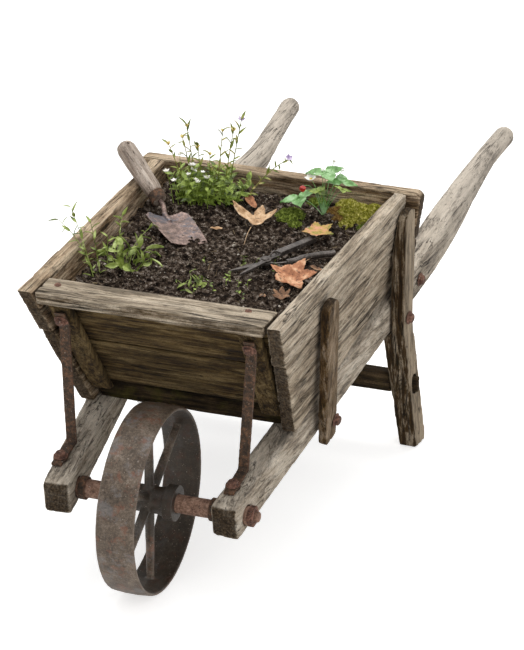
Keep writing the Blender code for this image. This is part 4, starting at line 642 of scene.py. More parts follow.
for number, (name, grain, finish, voxel, dips) in enumerate(TIMBERS):
    weather_timber(name, grain, finish, voxel, dips, number)
print("timbers:", len(TIMBERS), "with", sum(n for _, n in finished), "squares")

# %% [markdown]
# ## Rusted iron
#
# The wheel, straps, bolts and axle were black iron. Rust has lifted in crumbly scales, so the
# surface is rough (about 0.7 to 0.9), mostly brown-black iron oxide with orange where it is fresh.
# Dry rust isn't a mirror, so the metal value stays low. Rubbed iron has a colour and a share of
# its own; patch is the size of a rust patch, even is how gently its colours change, and rust is
# how strong the fresh flares are.


# %% Iron finish
FLARE_RUST = "#7a4a35"
LIMESCALE = "#b9ab9c"


def iron_finish(name, dark, mid, fresh, metal=0.25, roughness=0.78, grit=0.0008, worn=None,
                share=0.5, hub=None, patch=0.0125, even=0.095, rust=0.0):
    mat, tree, shader = new_finish(name)
    place = add(tree, "ShaderNodeTexCoord").outputs["Object"]
    blotches = noise_value(tree, place, (1 / patch, 1 / patch, 1 / patch), 7.0, 0.66)
    scales = noise_value(tree, place, (210, 210, 210), 5.0, 0.75, 0.0, seed=4.0)
    grains = noise_value(tree, place, (560, 560, 560), 3.0, 0.7, 0.0, seed=8.0)
    mixed = add(tree, "ShaderNodeMath", {0: add(tree, "ShaderNodeMath", {0: blotches, 1: 0.5},
                        operation="MULTIPLY").outputs[0],
                 1: add(tree, "ShaderNodeMath", {0: scales, 1: 0.5},
                        operation="MULTIPLY").outputs[0]}, operation="ADD").outputs[0]
    iron = add(tree, "ShaderNodeValToRGB", {0: mixed},
               ((0.50 - even, dark), (0.50, mid), (0.50 + even, fresh))).outputs[0]
    iron = add(tree, "ShaderNodeMix", {0: 0.65, 6: iron,
                7: add(tree, "ShaderNodeValToRGB", {0: grains},
                       ((0.38, 0.45), (0.56, 1.0))).outputs[0]}, data_type="RGBA",
               blend_type="MULTIPLY").outputs[2]
    if worn:
        bare = add(tree, "ShaderNodeMapRange",
                   {"Value": noise_value(tree, place, (24, 24, 24), 6.0, 0.75, 0.0, seed=12.0),
                    1: 0.52, 2: 0.60, 3: 0.0, 4: 1.0}).outputs[0]
        rubbed = add(tree, "ShaderNodeMix", {0: 0.6, 6: linear(worn),
                      7: add(tree, "ShaderNodeValToRGB", {0: scales},
                             ((0.38, 0.5), (0.56, 1.0))).outputs[0]}, data_type="RGBA",
                     blend_type="MULTIPLY").outputs[2]
        iron = add(tree, "ShaderNodeMix", {0: add(tree, "ShaderNodeMath", {0: bare, 1: share},
                           operation="MULTIPLY").outputs[0], 6: iron, 7: rubbed},
                   data_type="RGBA").outputs[2]
    flares = add(tree, "ShaderNodeMapRange",
                 {"Value": noise_value(tree, place, (38, 38, 38), 6.0, 0.75, 0.0, seed=23.0),
                  1: 0.54, 2: 0.62, 3: 0.0, 4: 1.0}).outputs[0]
    iron = add(tree, "ShaderNodeMix", {0: add(tree, "ShaderNodeMath", {0: flares, 1: rust},
                       operation="MULTIPLY").outputs[0], 6: iron, 7: linear(FLARE_RUST)},
               data_type="RGBA").outputs[2]
    # Corners turn to the fresh colour: partly worn edges, partly painted highlight.
    corners = add(tree, "ShaderNodeNewGeometry").outputs["Pointiness"]
    iron = add(tree, "ShaderNodeMix", {0: add(tree, "ShaderNodeMapRange",
                       {"Value": corners, 1: 0.515, 2: 0.57, 3: 0.0, 4: 0.45}).outputs[0], 6: iron,
                7: linear(fresh)}, data_type="RGBA").outputs[2]
    # Painted shade on the rim's inner side and round the hub.
    if hub:
        iron = shade_inside(tree, iron, hub)
    limescale = add(tree, "ShaderNodeMapRange",
                    {"Value": noise_value(tree, place, (330, 330, 330), 2.0, 0.5, 0.0, seed=17.0),
                     1: 0.69, 2: 0.72, 3: 0.0, 4: 1.0}).outputs[0]
    iron = add(tree, "ShaderNodeMix", {0: add(tree, "ShaderNodeMath", {0: limescale, 1: 0.6},
                       operation="MULTIPLY").outputs[0], 6: iron, 7: linear(LIMESCALE)},
               data_type="RGBA").outputs[2]
    tree.links.new(iron, shader.inputs["Base Color"])
    shader.inputs["Metallic"].default_value = metal
    tree.links.new(add(tree, "ShaderNodeMapRange",
                       {"Value": scales, 1: 0.3, 2: 0.7, 3: roughness - 0.10,
                        4: roughness + 0.12}).outputs[0], shader.inputs["Roughness"])
    height = add(tree, "ShaderNodeMath", {0: scales,
                  1: add(tree, "ShaderNodeMath", {0: grains, 1: 0.5},
                         operation="MULTIPLY").outputs[0]}, operation="ADD").outputs[0]
    bump = add(tree, "ShaderNodeBump", {"Height": height, "Strength": 0.8, "Distance": grit})
    tree.links.new(bump.outputs[0], shader.inputs["Normal"])
    return mat


def shade_inside(tree, colour, hub):
    """Painted shade: darker iron on the rim's inner side and round the hub."""
    place = add(tree, "ShaderNodeTexCoord").outputs
    outwards = add(tree, "ShaderNodeVectorMath", {0: place["Object"], 1: hub},
                   operation="SUBTRACT").outputs[0]
    outwards = add(tree, "ShaderNodeVectorMath", {0: outwards, 1: (0, 1, 1)},
                   operation="MULTIPLY").outputs[0]
    distance = add(tree, "ShaderNodeVectorMath", {0: outwards}, operation="LENGTH").outputs["Value"]
    outwards = add(tree, "ShaderNodeVectorMath", {0: outwards}, operation="NORMALIZE").outputs[0]
    turned_out = add(tree, "ShaderNodeVectorMath", {0: place["Normal"], 1: outwards},
                     operation="DOT_PRODUCT").outputs["Value"]
    inner = add(tree, "ShaderNodeMapRange",
                {"Value": turned_out, 1: -0.9, 2: 0.1, 3: 0.72, 4: 0.0}).outputs[0]
    near_hub = add(tree, "ShaderNodeMapRange",
                   {"Value": distance, 1: 0.045, 2: 0.10, 3: 0.82, 4: 0.0}).outputs[0]
    return add(tree, "ShaderNodeMix", {0: add(tree, "ShaderNodeMath", {0: inner, 1: near_hub},
                       operation="MAXIMUM").outputs[0], 6: colour, 7: linear("#241d13")},
               data_type="RGBA").outputs[2]


CAST_IRON = iron_finish("rusted_cast_iron", "#33291f", "#655647", "#8f8071", 0.2, 0.55, 0.0009,
                        "#7d7a79", 0.5, hub=(0.0, AXLE_Y, 0.175), patch=0.035, even=0.13, rust=0.55)
RUSTY_IRON = iron_finish("rusted_wrought_iron", "#261b13", "#4b3a2b", "#7b573f", 0.2, 0.8, 0.0010)
BOLT_IRON = iron_finish("scaly_bolt_iron", "#33201a", "#664536", "#9c7260", 0.1, 0.85, 0.0012)
AXLE_IRON = iron_finish("axle_iron", "#573e31", "#8f6d59", "#b08d78", 0.15, 0.75, 0.0008)
TOOL_STEEL = iron_finish("tarnished_steel", "#2c2724", "#57504b", "#8f8680", 0.5, 0.42, 0.0002,
                         patch=0.03, even=0.14)
BLADE_STEEL = iron_finish("trowel_steel", "#57463d", "#8b746b", "#bb9f92", 0.3, 0.5, 0.0004,
                          "#63666f", 0.9)

# %% [markdown]
# The iron pieces go through the same kind of remesh, with much finer squares, and a second small
# tree eats shallow pits into them.


# %% Pitted iron
def pitting_tree():
    number = "NodeSocketFloat"
    tree, given, result = new_geometry_tree("pitting",
                                            (("Pit Size", number), ("Pit Depth", number)))
    point = add(tree, "GeometryNodeInputPosition").outputs[0]
    normal = add(tree, "GeometryNodeInputNormal").outputs[0]
    density = add(tree, "ShaderNodeMath", {0: 1.0, 1: given.outputs["Pit Size"]},
                  operation="DIVIDE").outputs[0]
    pits = add(tree, "ShaderNodeTexNoise", {"Vector": point, "Scale": density, "Detail": 3.0},
               noise_dimensions="3D").outputs[0]
    depth = add(tree, "ShaderNodeMath", {0: pits, 1: given.outputs["Pit Depth"]},
                operation="MULTIPLY").outputs[0]
    inward = add(tree, "ShaderNodeVectorMath", {0: normal, "Scale": depth},
                 operation="SCALE").outputs[0]
    push = add(tree, "ShaderNodeVectorMath", {0: inward, 1: (-1, -1, -1)},
               operation="MULTIPLY").outputs[0]
    moved = add(tree, "GeometryNodeSetPosition",
                {"Geometry": given.outputs["Geometry"], "Offset": push}).outputs[0]
    smooth = add(tree, "GeometryNodeSetShadeSmooth", {"Geometry": moved}).outputs[0]
    tree.links.new(smooth, result.inputs["Geometry"])
    return tree


PITTING = pitting_tree()


def rust_piece(name, finish, voxel, body="barrow", pit_size=0.012, pit_depth=0.0006):
    piece = cad_copy(name)
    remesh = piece.modifiers.new("even_squares", "REMESH")
    remesh.mode = "VOXEL"
    remesh.voxel_size = voxel
    pits = piece.modifiers.new("pits", "NODES")
    pits.node_group = PITTING
    set_input(pits, "Pit Size", pit_size)
    set_input(pits, "Pit Depth", pit_depth)
    apply_modifiers(piece)
    return dress(piece, body, finish, [name])


rust_piece("wheel", CAST_IRON, 0.0021, "wheel", 0.016, 0.0010)
rust_piece("axle", AXLE_IRON, 0.0020)
rust_piece("axle_nut", BOLT_IRON, 0.0012)
for side in ("left", "right"):
    rust_piece(f"axle_sleeve_{side}", RUSTY_IRON, 0.0015)
    rust_piece(f"iron_strap_{side}", RUSTY_IRON, 0.0013)
    for label in ("stake_bolt", "leg_bolt", "rear_bolt", "strap_screw", "strap_foot_screw"):
        rust_piece(f"{label}_{side}", BOLT_IRON, 0.0012, pit_size=0.006)
rust_piece("trowel_ferrule", RUSTY_IRON, 0.0008, pit_depth=0.0002)
rust_piece("trowel_blade", BLADE_STEEL, 0.0009, pit_depth=0.0002)
rust_piece("shears_blade_half", TOOL_STEEL, 0.0008, "shears_blade_half", pit_depth=0.00005)
rust_piece("shears_hook_half", TOOL_STEEL, 0.0008, pit_depth=0.00005)
rust_piece("shears_pivot", TOOL_STEEL, 0.0006, pit_depth=0.0001)


# %% [markdown]
# Two hand-made nails hold the rail. Only their flattened heads show, sunk a little into the wood.

# %% Nail heads
NAILS = ((-0.190, 0.048), (0.168, 0.060))
NAIL_RADIUS = 0.0066


def nail_head(number, x, y):
    bm = bmesh.new()
    top = at(x, y, RIM_Z - RIM_FALL * (y + 0.005) - 0.0022)
    bmesh.ops.create_uvsphere(bm, u_segments=16, v_segments=10, radius=NAIL_RADIUS,
                              matrix=Matrix.Translation(top) @ Matrix.Diagonal((1, 1, 0.5, 1)))
    for vertex in bm.verts:
        vertex.co += Vector((0, 0, 0.0006)) * noise.noise(vertex.co * 500)
    mesh = bpy.data.meshes.new(f"nail_head_{number}")
    bm.to_mesh(mesh)
    bm.free()
    head = bpy.data.objects.new(f"nail_head_{number}", mesh)
    scene.collection.objects.link(head)
    return dress(head, "barrow", BOLT_IRON)


for number, (x, y) in enumerate(NAILS, 1):
    nail_head(number, x, y)
print("pieces so far:", len(finished))

# %% [markdown]
# ## Soil
#
# The soil is a crumbly slab a few centimetres thick with its own sides and underside. Several
# sizes of noise heap its top: it stays low under the shears and rises against the end of the
# trowel, which is pushed into it. Damp soil is dark, with roughness near 1; the noise that bumps
# its surface also colours it, so the low parts are painted nearly black as shade and the raised
# parts grey-brown as painted light, over the soil's own uneven tone.

# %% Soil
SOIL_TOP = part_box("soil")[1].z
SOIL_STEP = 0.0030
SOIL_DEPTH = 0.030
TRAY_FRONT_Y = 0.0885
TRAY_BACK_Y = 0.6955
TRAY_HALF_FRONT = 0.2112
TRAY_FLARE = 0.0214
DUG_IN = (-0.066, 0.398)
SHEARS_PIVOT = (0.089, 0.372)


def soil_height(x, y):
    """The soil's top at a place measured from the axle."""
    place = Vector((x, y, 0))
    lumps = noise.fractal(place * 34, 1.0, 2.0, 3) * 0.0072
    crumbs = max(noise.noise(place * 95), 0) * 0.0085 + noise.noise(place * 300) * 0.0016
    calm = min(1.0, math.dist((x, y), SHEARS_PIVOT) / 0.16) ** 2
    under_shears = 0.0045 * (1.0 - calm)
    heap = 0.011 * math.exp(-(math.dist((x, y), DUG_IN) / 0.020) ** 2)
    edge = 0.006 * math.exp(-min(y - TRAY_FRONT_Y, TRAY_BACK_Y - y,
                                 TRAY_HALF_FRONT + 0.01 - abs(x)) / 0.02)
    return SOIL_TOP - 0.0042 - under_shears + (
        lumps + crumbs + 0.0015) * (0.25 + 0.75 * calm) + heap - edge * 0.4


def soil_slab():
    columns = int((TRAY_BACK_Y - TRAY_FRONT_Y) / SOIL_STEP)
    rows = int(2 * TRAY_HALF_FRONT / SOIL_STEP)
    points = []
    for i in range(columns + 1):
        y = TRAY_FRONT_Y + (TRAY_BACK_Y - TRAY_FRONT_Y) * i / columns
        half = TRAY_HALF_FRONT + TRAY_FLARE * y
        for j in range(rows + 1):
            x = -half + 2 * half * j / rows
            points.append(at(x, y, soil_height(x, y)))
    wide = rows + 1
    faces = [(i * wide + j, i * wide + j + 1, (i + 1) * wide + j + 1, (i + 1) * wide + j)
             for i in range(columns) for j in range(rows)]
    rim = [j for j in range(wide)] + [i * wide + rows for i in range(1, columns + 1)]
    rim += [columns * wide + j for j in range(rows - 1, -1,
                                              -1)] + [i * wide for i in range(columns - 1, 0, -1)]
    below = len(points)
    for index in rim:
        point = points[index]
        points.append(Vector((point.x, point.y, SOIL_TOP - SOIL_DEPTH)))
    for k in range(len(rim)):
        after = (k + 1) % len(rim)
        faces.append((rim[k], below + k, below + after, rim[after]))
    faces.append([below + k for k in range(len(rim) - 1, -1, -1)])
    mesh = bpy.data.meshes.new("soil_slab")
    mesh.from_pydata(points, [], faces)
    mesh.polygons.foreach_set("use_smooth", [True] * len(mesh.polygons))
    slab = bpy.data.objects.new("soil_slab", mesh)
    scene.collection.objects.link(slab)
    return slab


def soil_finish():
    mat, tree, shader = new_finish("damp_crumbly_soil")
    place = add(tree, "ShaderNodeTexCoord").outputs["Object"]
    lumps = noise_value(tree, place, (85, 85, 85), 6.0, 0.7)
    grains = noise_value(tree, place, (420, 420, 420), 4.0, 0.7, 0.0, seed=3.0)
    mixed = add(tree, "ShaderNodeMath", {0: add(tree, "ShaderNodeMath", {0: lumps, 1: 0.75},
                        operation="MULTIPLY").outputs[0],
                 1: add(tree, "ShaderNodeMath", {0: grains, 1: 0.25},
                        operation="MULTIPLY").outputs[0]}, operation="ADD").outputs[0]
    # Same noise as the bump: hollows painted dark as shade, raised parts painted pale as light.
    soil = add(tree, "ShaderNodeValToRGB", {0: mixed},
               ((0.41, "#0e0805"), (0.48, "#2b2018"), (0.54, "#53463a"),
                (0.63, "#a1958a"))).outputs[0]
    bits = add(tree, "ShaderNodeMapRange",
               {"Value": noise_value(tree, place, (240, 240, 240), 2.0, 0.5, 0.0, seed=7.0),
                1: 0.68, 2: 0.71, 3: 0.0, 4: 1.0}).outputs[0]
    soil = add(tree, "ShaderNodeMix",
               {0: add(tree, "ShaderNodeMath", {0: bits, 1: 0.8}, operation="MULTIPLY").outputs[0],
                6: soil, 7: linear("#c9bba4")}, data_type="RGBA").outputs[2]
    tree.links.new(soil, shader.inputs["Base Color"])
    shader.inputs["Roughness"].default_value = 0.97
    shader.inputs["Specular IOR Level"].default_value = 0.15
    bump = add(tree, "ShaderNodeBump", {"Height": mixed, "Strength": 1.0, "Distance": 0.006})
    tree.links.new(bump.outputs[0], shader.inputs["Normal"])
    return mat


SOIL = soil_finish()
slab = dress(soil_slab(), "barrow", SOIL, ["soil"])

# %% [markdown]
# ## Scattering small things
#
# Crumbs, pebbles, straw and moss shoots are all one small shape repeated. One node tree strews an
# object over a surface, stands it on the surface, turns and scales each copy at random from a fixed
# seed, and makes them real. A crumb has twenty faces, which is plenty at a few millimetres.


# %% Scatter tree
def scatter_tree():
    number = "NodeSocketFloat"
    tree, given, result = new_geometry_tree("scatter", (
        ("Thing", "NodeSocketObject"), ("Density", number), ("Smallest", number),
        ("Largest", number),
        ("Upright", number), ("Seed", "NodeSocketInt"), ("Finish", "NodeSocketMaterial")))
    normal = add(tree, "GeometryNodeInputNormal").outputs[0]
    faces_up = add(tree, "ShaderNodeSeparateXYZ", {0: normal}).outputs[2]
    open_sky = add(tree, "FunctionNodeCompare", {0: faces_up, 1: 0.3},
                   operation="GREATER_THAN").outputs[0]
    strewn = add(tree, "GeometryNodeDistributePointsOnFaces", {"Mesh": given.outputs["Geometry"],
                 "Selection": open_sky, "Density": given.outputs["Density"],
                                                               "Seed": given.outputs["Seed"]})
    tumbled = add(tree, "FunctionNodeRandomValue", {0: (-3.1, -3.1, -3.1), 1: (3.1, 3.1, 3.1),
                  "Seed": given.outputs["Seed"]}, data_type="FLOAT_VECTOR").outputs[0]
    tumbled = add(tree, "FunctionNodeEulerToRotation", {0: tumbled}).outputs[0]
    turn = add(tree, "ShaderNodeMix", {0: given.outputs["Upright"], 8: tumbled,
               9: strewn.outputs["Rotation"]}, data_type="ROTATION").outputs[3]
    size = add(tree, "FunctionNodeRandomValue",
               {2: given.outputs["Smallest"], 3: given.outputs["Largest"],
               "Seed": given.outputs["Seed"]}, data_type="FLOAT").outputs[1]
    thing = add(tree, "GeometryNodeObjectInfo",
                {"Object": given.outputs["Thing"]}).outputs["Geometry"]
    copies = add(tree, "GeometryNodeInstanceOnPoints",
                 {"Points": strewn.outputs["Points"], "Instance": thing,
                 "Rotation": turn, "Scale": size}).outputs[0]
    real = add(tree, "GeometryNodeRealizeInstances", {0: copies}).outputs[0]
    coloured = add(tree, "GeometryNodeSetMaterial",
                   {"Geometry": real, "Material": given.outputs["Finish"]}).outputs[0]
    tree.links.new(coloured, result.inputs["Geometry"])
    return tree


SCATTER = scatter_tree()


def pattern(name, build):
    """A small shape to be repeated, kept out of the scene."""
    bm = bmesh.new()
    build(bm)
    bmesh.ops.recalc_face_normals(bm, faces=bm.faces[:])
    mesh = bpy.data.meshes.new(name)
    bm.to_mesh(mesh)
    bm.free()
    return bpy.data.objects.new(name, mesh)


def grown(tree, name, source, finish, body="barrow", **inputs):
    """The result of a node tree on a source object, as a finished piece."""
    holder = bpy.data.objects.new(name, source.data)
    scene.collection.objects.link(holder)
    growth = holder.modifiers.new("growth", "NODES")
    growth.node_group = tree
    for label, value in inputs.items():
        set_input(growth, label.replace("_", " "), value)
    set_input(growth, "Finish", finish)
    graph = bpy.context.evaluated_depsgraph_get()
    mesh = bpy.data.meshes.new_from_object(holder.evaluated_get(graph),
                                           preserve_all_data_layers=True, depsgraph=graph)
    bpy.data.objects.remove(holder)
    piece = bpy.data.objects.new(name, mesh)
    scene.collection.objects.link(piece)
    return dress(piece, body, finish)


def lump(bm):
    bmesh.ops.create_icosphere(bm, subdivisions=1, radius=0.5)
    for vertex in bm.verts:
        vertex.co *= 1 + 0.35 * noise.noise(vertex.co * 4)
        vertex.co.z *= 0.75


def straw(bm):
    bmesh.ops.create_cone(bm, cap_ends=True, segments=5, radius1=0.03, radius2=0.05, depth=1.0,
                          matrix=Matrix.Rotation(math.pi / 2, 4, "X"))


def plain_finish(name, stops, size, roughness=0.8, depth=0.001):
    """A matte finish whose colour wanders through a few tones; size is that of its patches."""
    mat, tree, shader = new_finish(name)
    place = add(tree, "ShaderNodeTexCoord").outputs["Object"]
    value = noise_value(tree, place, (1 / size, 1 / size, 1 / size), 5.0, 0.65)
    tree.links.new(add(tree, "ShaderNodeValToRGB", {0: value}, stops).outputs[0],
                   shader.inputs["Base Color"])
    shader.inputs["Roughness"].default_value = roughness
    bump = add(tree, "ShaderNodeBump", {"Height": value, "Strength": 0.6, "Distance": depth})
    tree.links.new(bump.outputs[0], shader.inputs["Normal"])
    return mat


PEBBLE = plain_finish("pale_grit", ((0.4, "#7d7365"), (0.6, "#d8cfc0")), 0.02, 0.85)
STRAW = plain_finish("dry_straw_and_twigs", ((0.4, "#54422f"), (0.6, "#a8946f")), 0.03, 0.85)
crumb = pattern("crumb", lump)
stalk = pattern("stalk", straw)
grown(SCATTER, "soil_crumbs", slab, SOIL, Thing=crumb, Density=8500.0, Smallest=0.002,
      Largest=0.0135, Upright=0.0, Seed=3)
grown(SCATTER, "soil_pebbles", slab, PEBBLE, Thing=crumb, Density=700.0, Smallest=0.0015,
      Largest=0.0045, Upright=0.0, Seed=8)
grown(SCATTER, "soil_stones", slab, PEBBLE, Thing=crumb, Density=110.0, Smallest=0.005,
      Largest=0.009, Upright=0.3, Seed=11)
grown(SCATTER, "soil_straw", slab, STRAW, Thing=stalk, Density=330.0, Smallest=0.008, Largest=0.024,
      Upright=0.35, Seed=5)
print("soil and litter:", finished[-4:])

# %% [markdown]
# ## Growing stems
#
# Every plant here is stems with leaves on them. A stem is drawn as a line of points. One tree turns
# the lines into thin round stems that taper, and sets a leaf at each step along them, turned round
# the stem by a fixed angle as real shoots do. A second tree sets one thing on each tip: a flower,
# a bud or a strawberry's three-part leaf.


# %% Stem trees
def tapered_stems(tree, line, radius):
    """Closed round stems along some lines, half as thick at their tips."""
    along = add(tree, "GeometryNodeSplineParameter").outputs["Factor"]
    thinner = add(tree, "ShaderNodeMapRange",
                  {"Value": along, 1: 0.0, 2: 1.0, 3: 1.0, 4: 0.5}).outputs[0]
    ring = add(tree, "GeometryNodeCurvePrimitiveCircle",
               {"Resolution": 5, "Radius": radius}).outputs[0]
    return add(tree, "GeometryNodeCurveToMesh",
               {"Curve": line, "Profile Curve": ring, "Scale": thinner,
               "Fill Caps": True}).outputs[0]


def leafy_stem_tree():
    number = "NodeSocketFloat"
    tree, given, result = new_geometry_tree("leafy_stem", (
        ("Leaf", "NodeSocketObject"), ("Stem Radius", number), ("Spacing", number),
        ("Leaf Size", number),
        ("Turn", number), ("Lift", number), ("Seed", "NodeSocketInt"),
        ("Finish", "NodeSocketMaterial")))
    line = add(tree, "GeometryNodeMeshToCurve", {"Mesh": given.outputs["Geometry"]}).outputs[0]
    stems = tapered_stems(tree, line, given.outputs["Stem Radius"])
    steps = add(tree, "GeometryNodeCurveToPoints",
                {"Curve": line, "Length": given.outputs["Spacing"]}, mode="LENGTH")
    index = add(tree, "GeometryNodeInputIndex").outputs[0]
    wander = add(tree, "FunctionNodeRandomValue", {2: -0.5, 3: 0.5, "Seed": given.outputs["Seed"]},
                 data_type="FLOAT").outputs[1]
    round_stem = add(tree, "ShaderNodeMath",
                     {0: add(tree, "ShaderNodeMath", {0: index, 1: given.outputs["Turn"]},
                             operation="MULTIPLY").outputs[0], 1: wander},
                     operation="ADD").outputs[0]
    turned = add(tree, "FunctionNodeAxisAngleToRotation", {0: (0, 0, 1), 1: round_stem}).outputs[0]
    lifted = add(tree, "FunctionNodeAxisAngleToRotation", {0: (1, 0, 0),
                 1: add(tree, "ShaderNodeMath", {0: given.outputs["Lift"],
                         1: add(tree, "ShaderNodeMath", {0: wander, 1: 0.8},
                                operation="MULTIPLY").outputs[0]},
                        operation="ADD").outputs[0]}).outputs[0]
    facing = add(tree, "FunctionNodeRotateRotation", {0: steps.outputs["Rotation"], 1: turned},
                 rotation_space="LOCAL").outputs[0]
    facing = add(tree, "FunctionNodeRotateRotation", {0: facing, 1: lifted},
                 rotation_space="LOCAL").outputs[0]
    size = add(tree, "FunctionNodeRandomValue", {2: 0.65, 3: 1.15, "Seed": given.outputs["Seed"]},
               data_type="FLOAT").outputs[1]
    size = add(tree, "ShaderNodeMath", {0: size, 1: given.outputs["Leaf Size"]},
               operation="MULTIPLY").outputs[0]
    leaf = add(tree, "GeometryNodeObjectInfo",
               {"Object": given.outputs["Leaf"]}).outputs["Geometry"]
    leaves = add(tree, "GeometryNodeInstanceOnPoints",
                 {"Points": steps.outputs["Points"], "Instance": leaf,
                 "Rotation": facing, "Scale": size}).outputs[0]
    leaves = add(tree, "GeometryNodeRealizeInstances", {0: leaves}).outputs[0]
    both = add(tree, "GeometryNodeJoinGeometry")
    for part in (stems, leaves):
        tree.links.new(part, both.inputs[0])
    coloured = add(tree, "GeometryNodeSetMaterial", {"Geometry": both.outputs[0],
                   "Material": given.outputs["Finish"]}).outputs[0]
    tree.links.new(coloured, result.inputs["Geometry"])
    return tree


def tip_tree():
    number = "NodeSocketFloat"
    tree, given, result = new_geometry_tree("on_each_tip", (
        ("Thing", "NodeSocketObject"), ("Size", number), ("Upright", number),
        ("Seed", "NodeSocketInt"),
        ("Finish", "NodeSocketMaterial")))
    line = add(tree, "GeometryNodeMeshToCurve", {"Mesh": given.outputs["Geometry"]}).outputs[0]
    tip = add(tree, "GeometryNodeCurveEndpointSelection",
              {"Start Size": 0, "End Size": 1}).outputs[0]
    tangent = add(tree, "GeometryNodeInputTangent").outputs[0]
    up = add(tree, "ShaderNodeMix", {0: given.outputs["Upright"], 4: tangent, 5: (0, 0, 1)},
             data_type="VECTOR").outputs[1]
    upright = add(tree, "FunctionNodeAlignRotationToVector", {2: up}, axis="Z").outputs[0]
    chance = add(tree, "FunctionNodeRandomValue", {2: 0.0, 3: 6.28, "Seed": given.outputs["Seed"]},
                 data_type="FLOAT").outputs[1]
    spun = add(tree, "FunctionNodeAxisAngleToRotation", {0: (0, 0, 1), 1: chance}).outputs[0]
    facing = add(tree, "FunctionNodeRotateRotation", {0: upright, 1: spun},
                 rotation_space="LOCAL").outputs[0]
    size = add(tree, "FunctionNodeRandomValue", {2: 0.8, 3: 1.2, "Seed": given.outputs["Seed"]},
               data_type="FLOAT").outputs[1]
    size = add(tree, "ShaderNodeMath", {0: size, 1: given.outputs["Size"]},
               operation="MULTIPLY").outputs[0]
    thing = add(tree, "GeometryNodeObjectInfo",
                {"Object": given.outputs["Thing"]}).outputs["Geometry"]
    copies = add(tree, "GeometryNodeInstanceOnPoints",
                 {"Points": line, "Selection": tip, "Instance": thing,
                 "Rotation": facing, "Scale": size}).outputs[0]
    real = add(tree, "GeometryNodeRealizeInstances", {0: copies}).outputs[0]
    coloured = add(tree, "GeometryNodeSetMaterial",
                   {"Geometry": real, "Material": given.outputs["Finish"]}).outputs[0]
    tree.links.new(coloured, result.inputs["Geometry"])
    return tree


LEAFY_STEM = leafy_stem_tree()
ON_EACH_TIP = tip_tree()

# %% [markdown]
# ## Leaves, petals and berries
#
# A leaf blade is a small grid, widest where the real one is, folded a little along its midrib and
# curling down at the tip. It has an upper and a lower skin joined at the rim, so that it is a thin
# closed thing like a real leaf.


# %% Leaf patterns
def blade_points(length, width, widest, fold, droop, teeth, steps=6):
    """Rows of five points along a leaf: its rim, its two halves and its midrib."""
    rows = []
    for i in range(steps + 1):
        s = i / steps
        half = width / 2 * math.sin(math.pi * s ** widest) if 0 < s < 1 else width * 0.03
        half *= 1 + teeth * (i % 2)
        rows.append([(half * t, length * s, length * (fold * abs(t) - droop * s * s)) for t in (-1,
                                                                                                -0.5, 0, 0.5, 1)])
    return rows


def add_blade(bm, rows, frame=None, thickness=0.02):
    """A closed leaf from its rows of points, thickness given as a share of unit length."""
    frame = frame or Matrix.Identity(4)
    skins = []
    for lift in (thickness / 2, -thickness / 2):
        skins.append([[bm.verts.new(frame @ (Vector(p) + Vector((0, 0,
                                                                 lift)))) for p in row] for row in rows])
    upper, lower = skins
    for i in range(len(rows) - 1):
        for j in range(4):
            bm.faces.new((upper[i][j], upper[i][j + 1], upper[i + 1][j + 1], upper[i + 1][j]))
            bm.faces.new((lower[i][j], lower[i + 1][j], lower[i + 1][j + 1], lower[i][j + 1]))
        for j in (0, 4):
            bm.faces.new((upper[i][j], upper[i + 1][j], lower[i + 1][j], lower[i][j]))
    for i in (0, -1):
        for j in range(4):
            bm.faces.new((upper[i][j], lower[i][j], lower[i][j + 1], upper[i][j + 1]))


def single_leaf(width, widest, fold, droop, teeth=0.0, steps=6):
    """What draws one leaf of unit length along +Y."""
    return lambda bm: add_blade(bm, blade_points(1.0, width, widest, fold, droop, teeth, steps))


def ring_of_blades(count, width, widest, fold, droop, spread=360.0, reach=1.0, rise=0.0, teeth=0.0,
                   steps=6):
    """What draws several blades round a point: petals, or a leaf in three parts."""
    def build(bm):
        for i in range(count):
            angle = math.radians(spread * (i / count if spread == 360.0 else i / (count - 1) - 0.5))
            frame = Matrix.Rotation(angle, 4, "Z") @ Matrix.Rotation(rise, 4, "X")
            add_blade(bm, blade_points(reach, width, widest, fold, droop, teeth, steps), frame)
    return build


def berry_shape(bm):
    bmesh.ops.create_uvsphere(bm, u_segments=10, v_segments=8, radius=0.5)
    for vertex in bm.verts:
        low = (0.5 - vertex.co.z)
        vertex.co.x *= 1.15 - 0.45 * low
        vertex.co.y *= 1.15 - 0.45 * low
        vertex.co.z -= 0.4


def bead(bm):
    bmesh.ops.create_icosphere(bm, subdivisions=1, radius=0.5)


oval_leaf = pattern("oval_leaf", single_leaf(0.52, 0.85, 0.05, 0.22))
narrow_leaf = pattern("narrow_leaf", single_leaf(0.28, 0.8, 0.05, 0.25, 0.0, 5))
toothed_leaf = pattern("toothed_leaf", single_leaf(0.42, 0.9, 0.08, 0.18, 0.14, 8))
three_part_leaf = pattern("three_part_leaf",
                          ring_of_blades(3, 0.70, 0.72, 0.07, 0.14, 200.0, 1.0, 0.10, 0.15, 10))
five_petals = pattern("five_petals",
                      ring_of_blades(5, 0.50, 0.62, 0.03, -0.10, 360.0, 0.5, 0.45, 0.0, 4))
flower_eye = pattern("flower_eye", bead)
strawberry = pattern("strawberry", berry_shape)

# %% [markdown]
# Leaves wander at random through a dark, a middle and a light tone. Each also glows a little with
# its own colour, which is painted light that keeps its shaded side bright, and its skin has a soft
# sheen, roughness about 0.5.


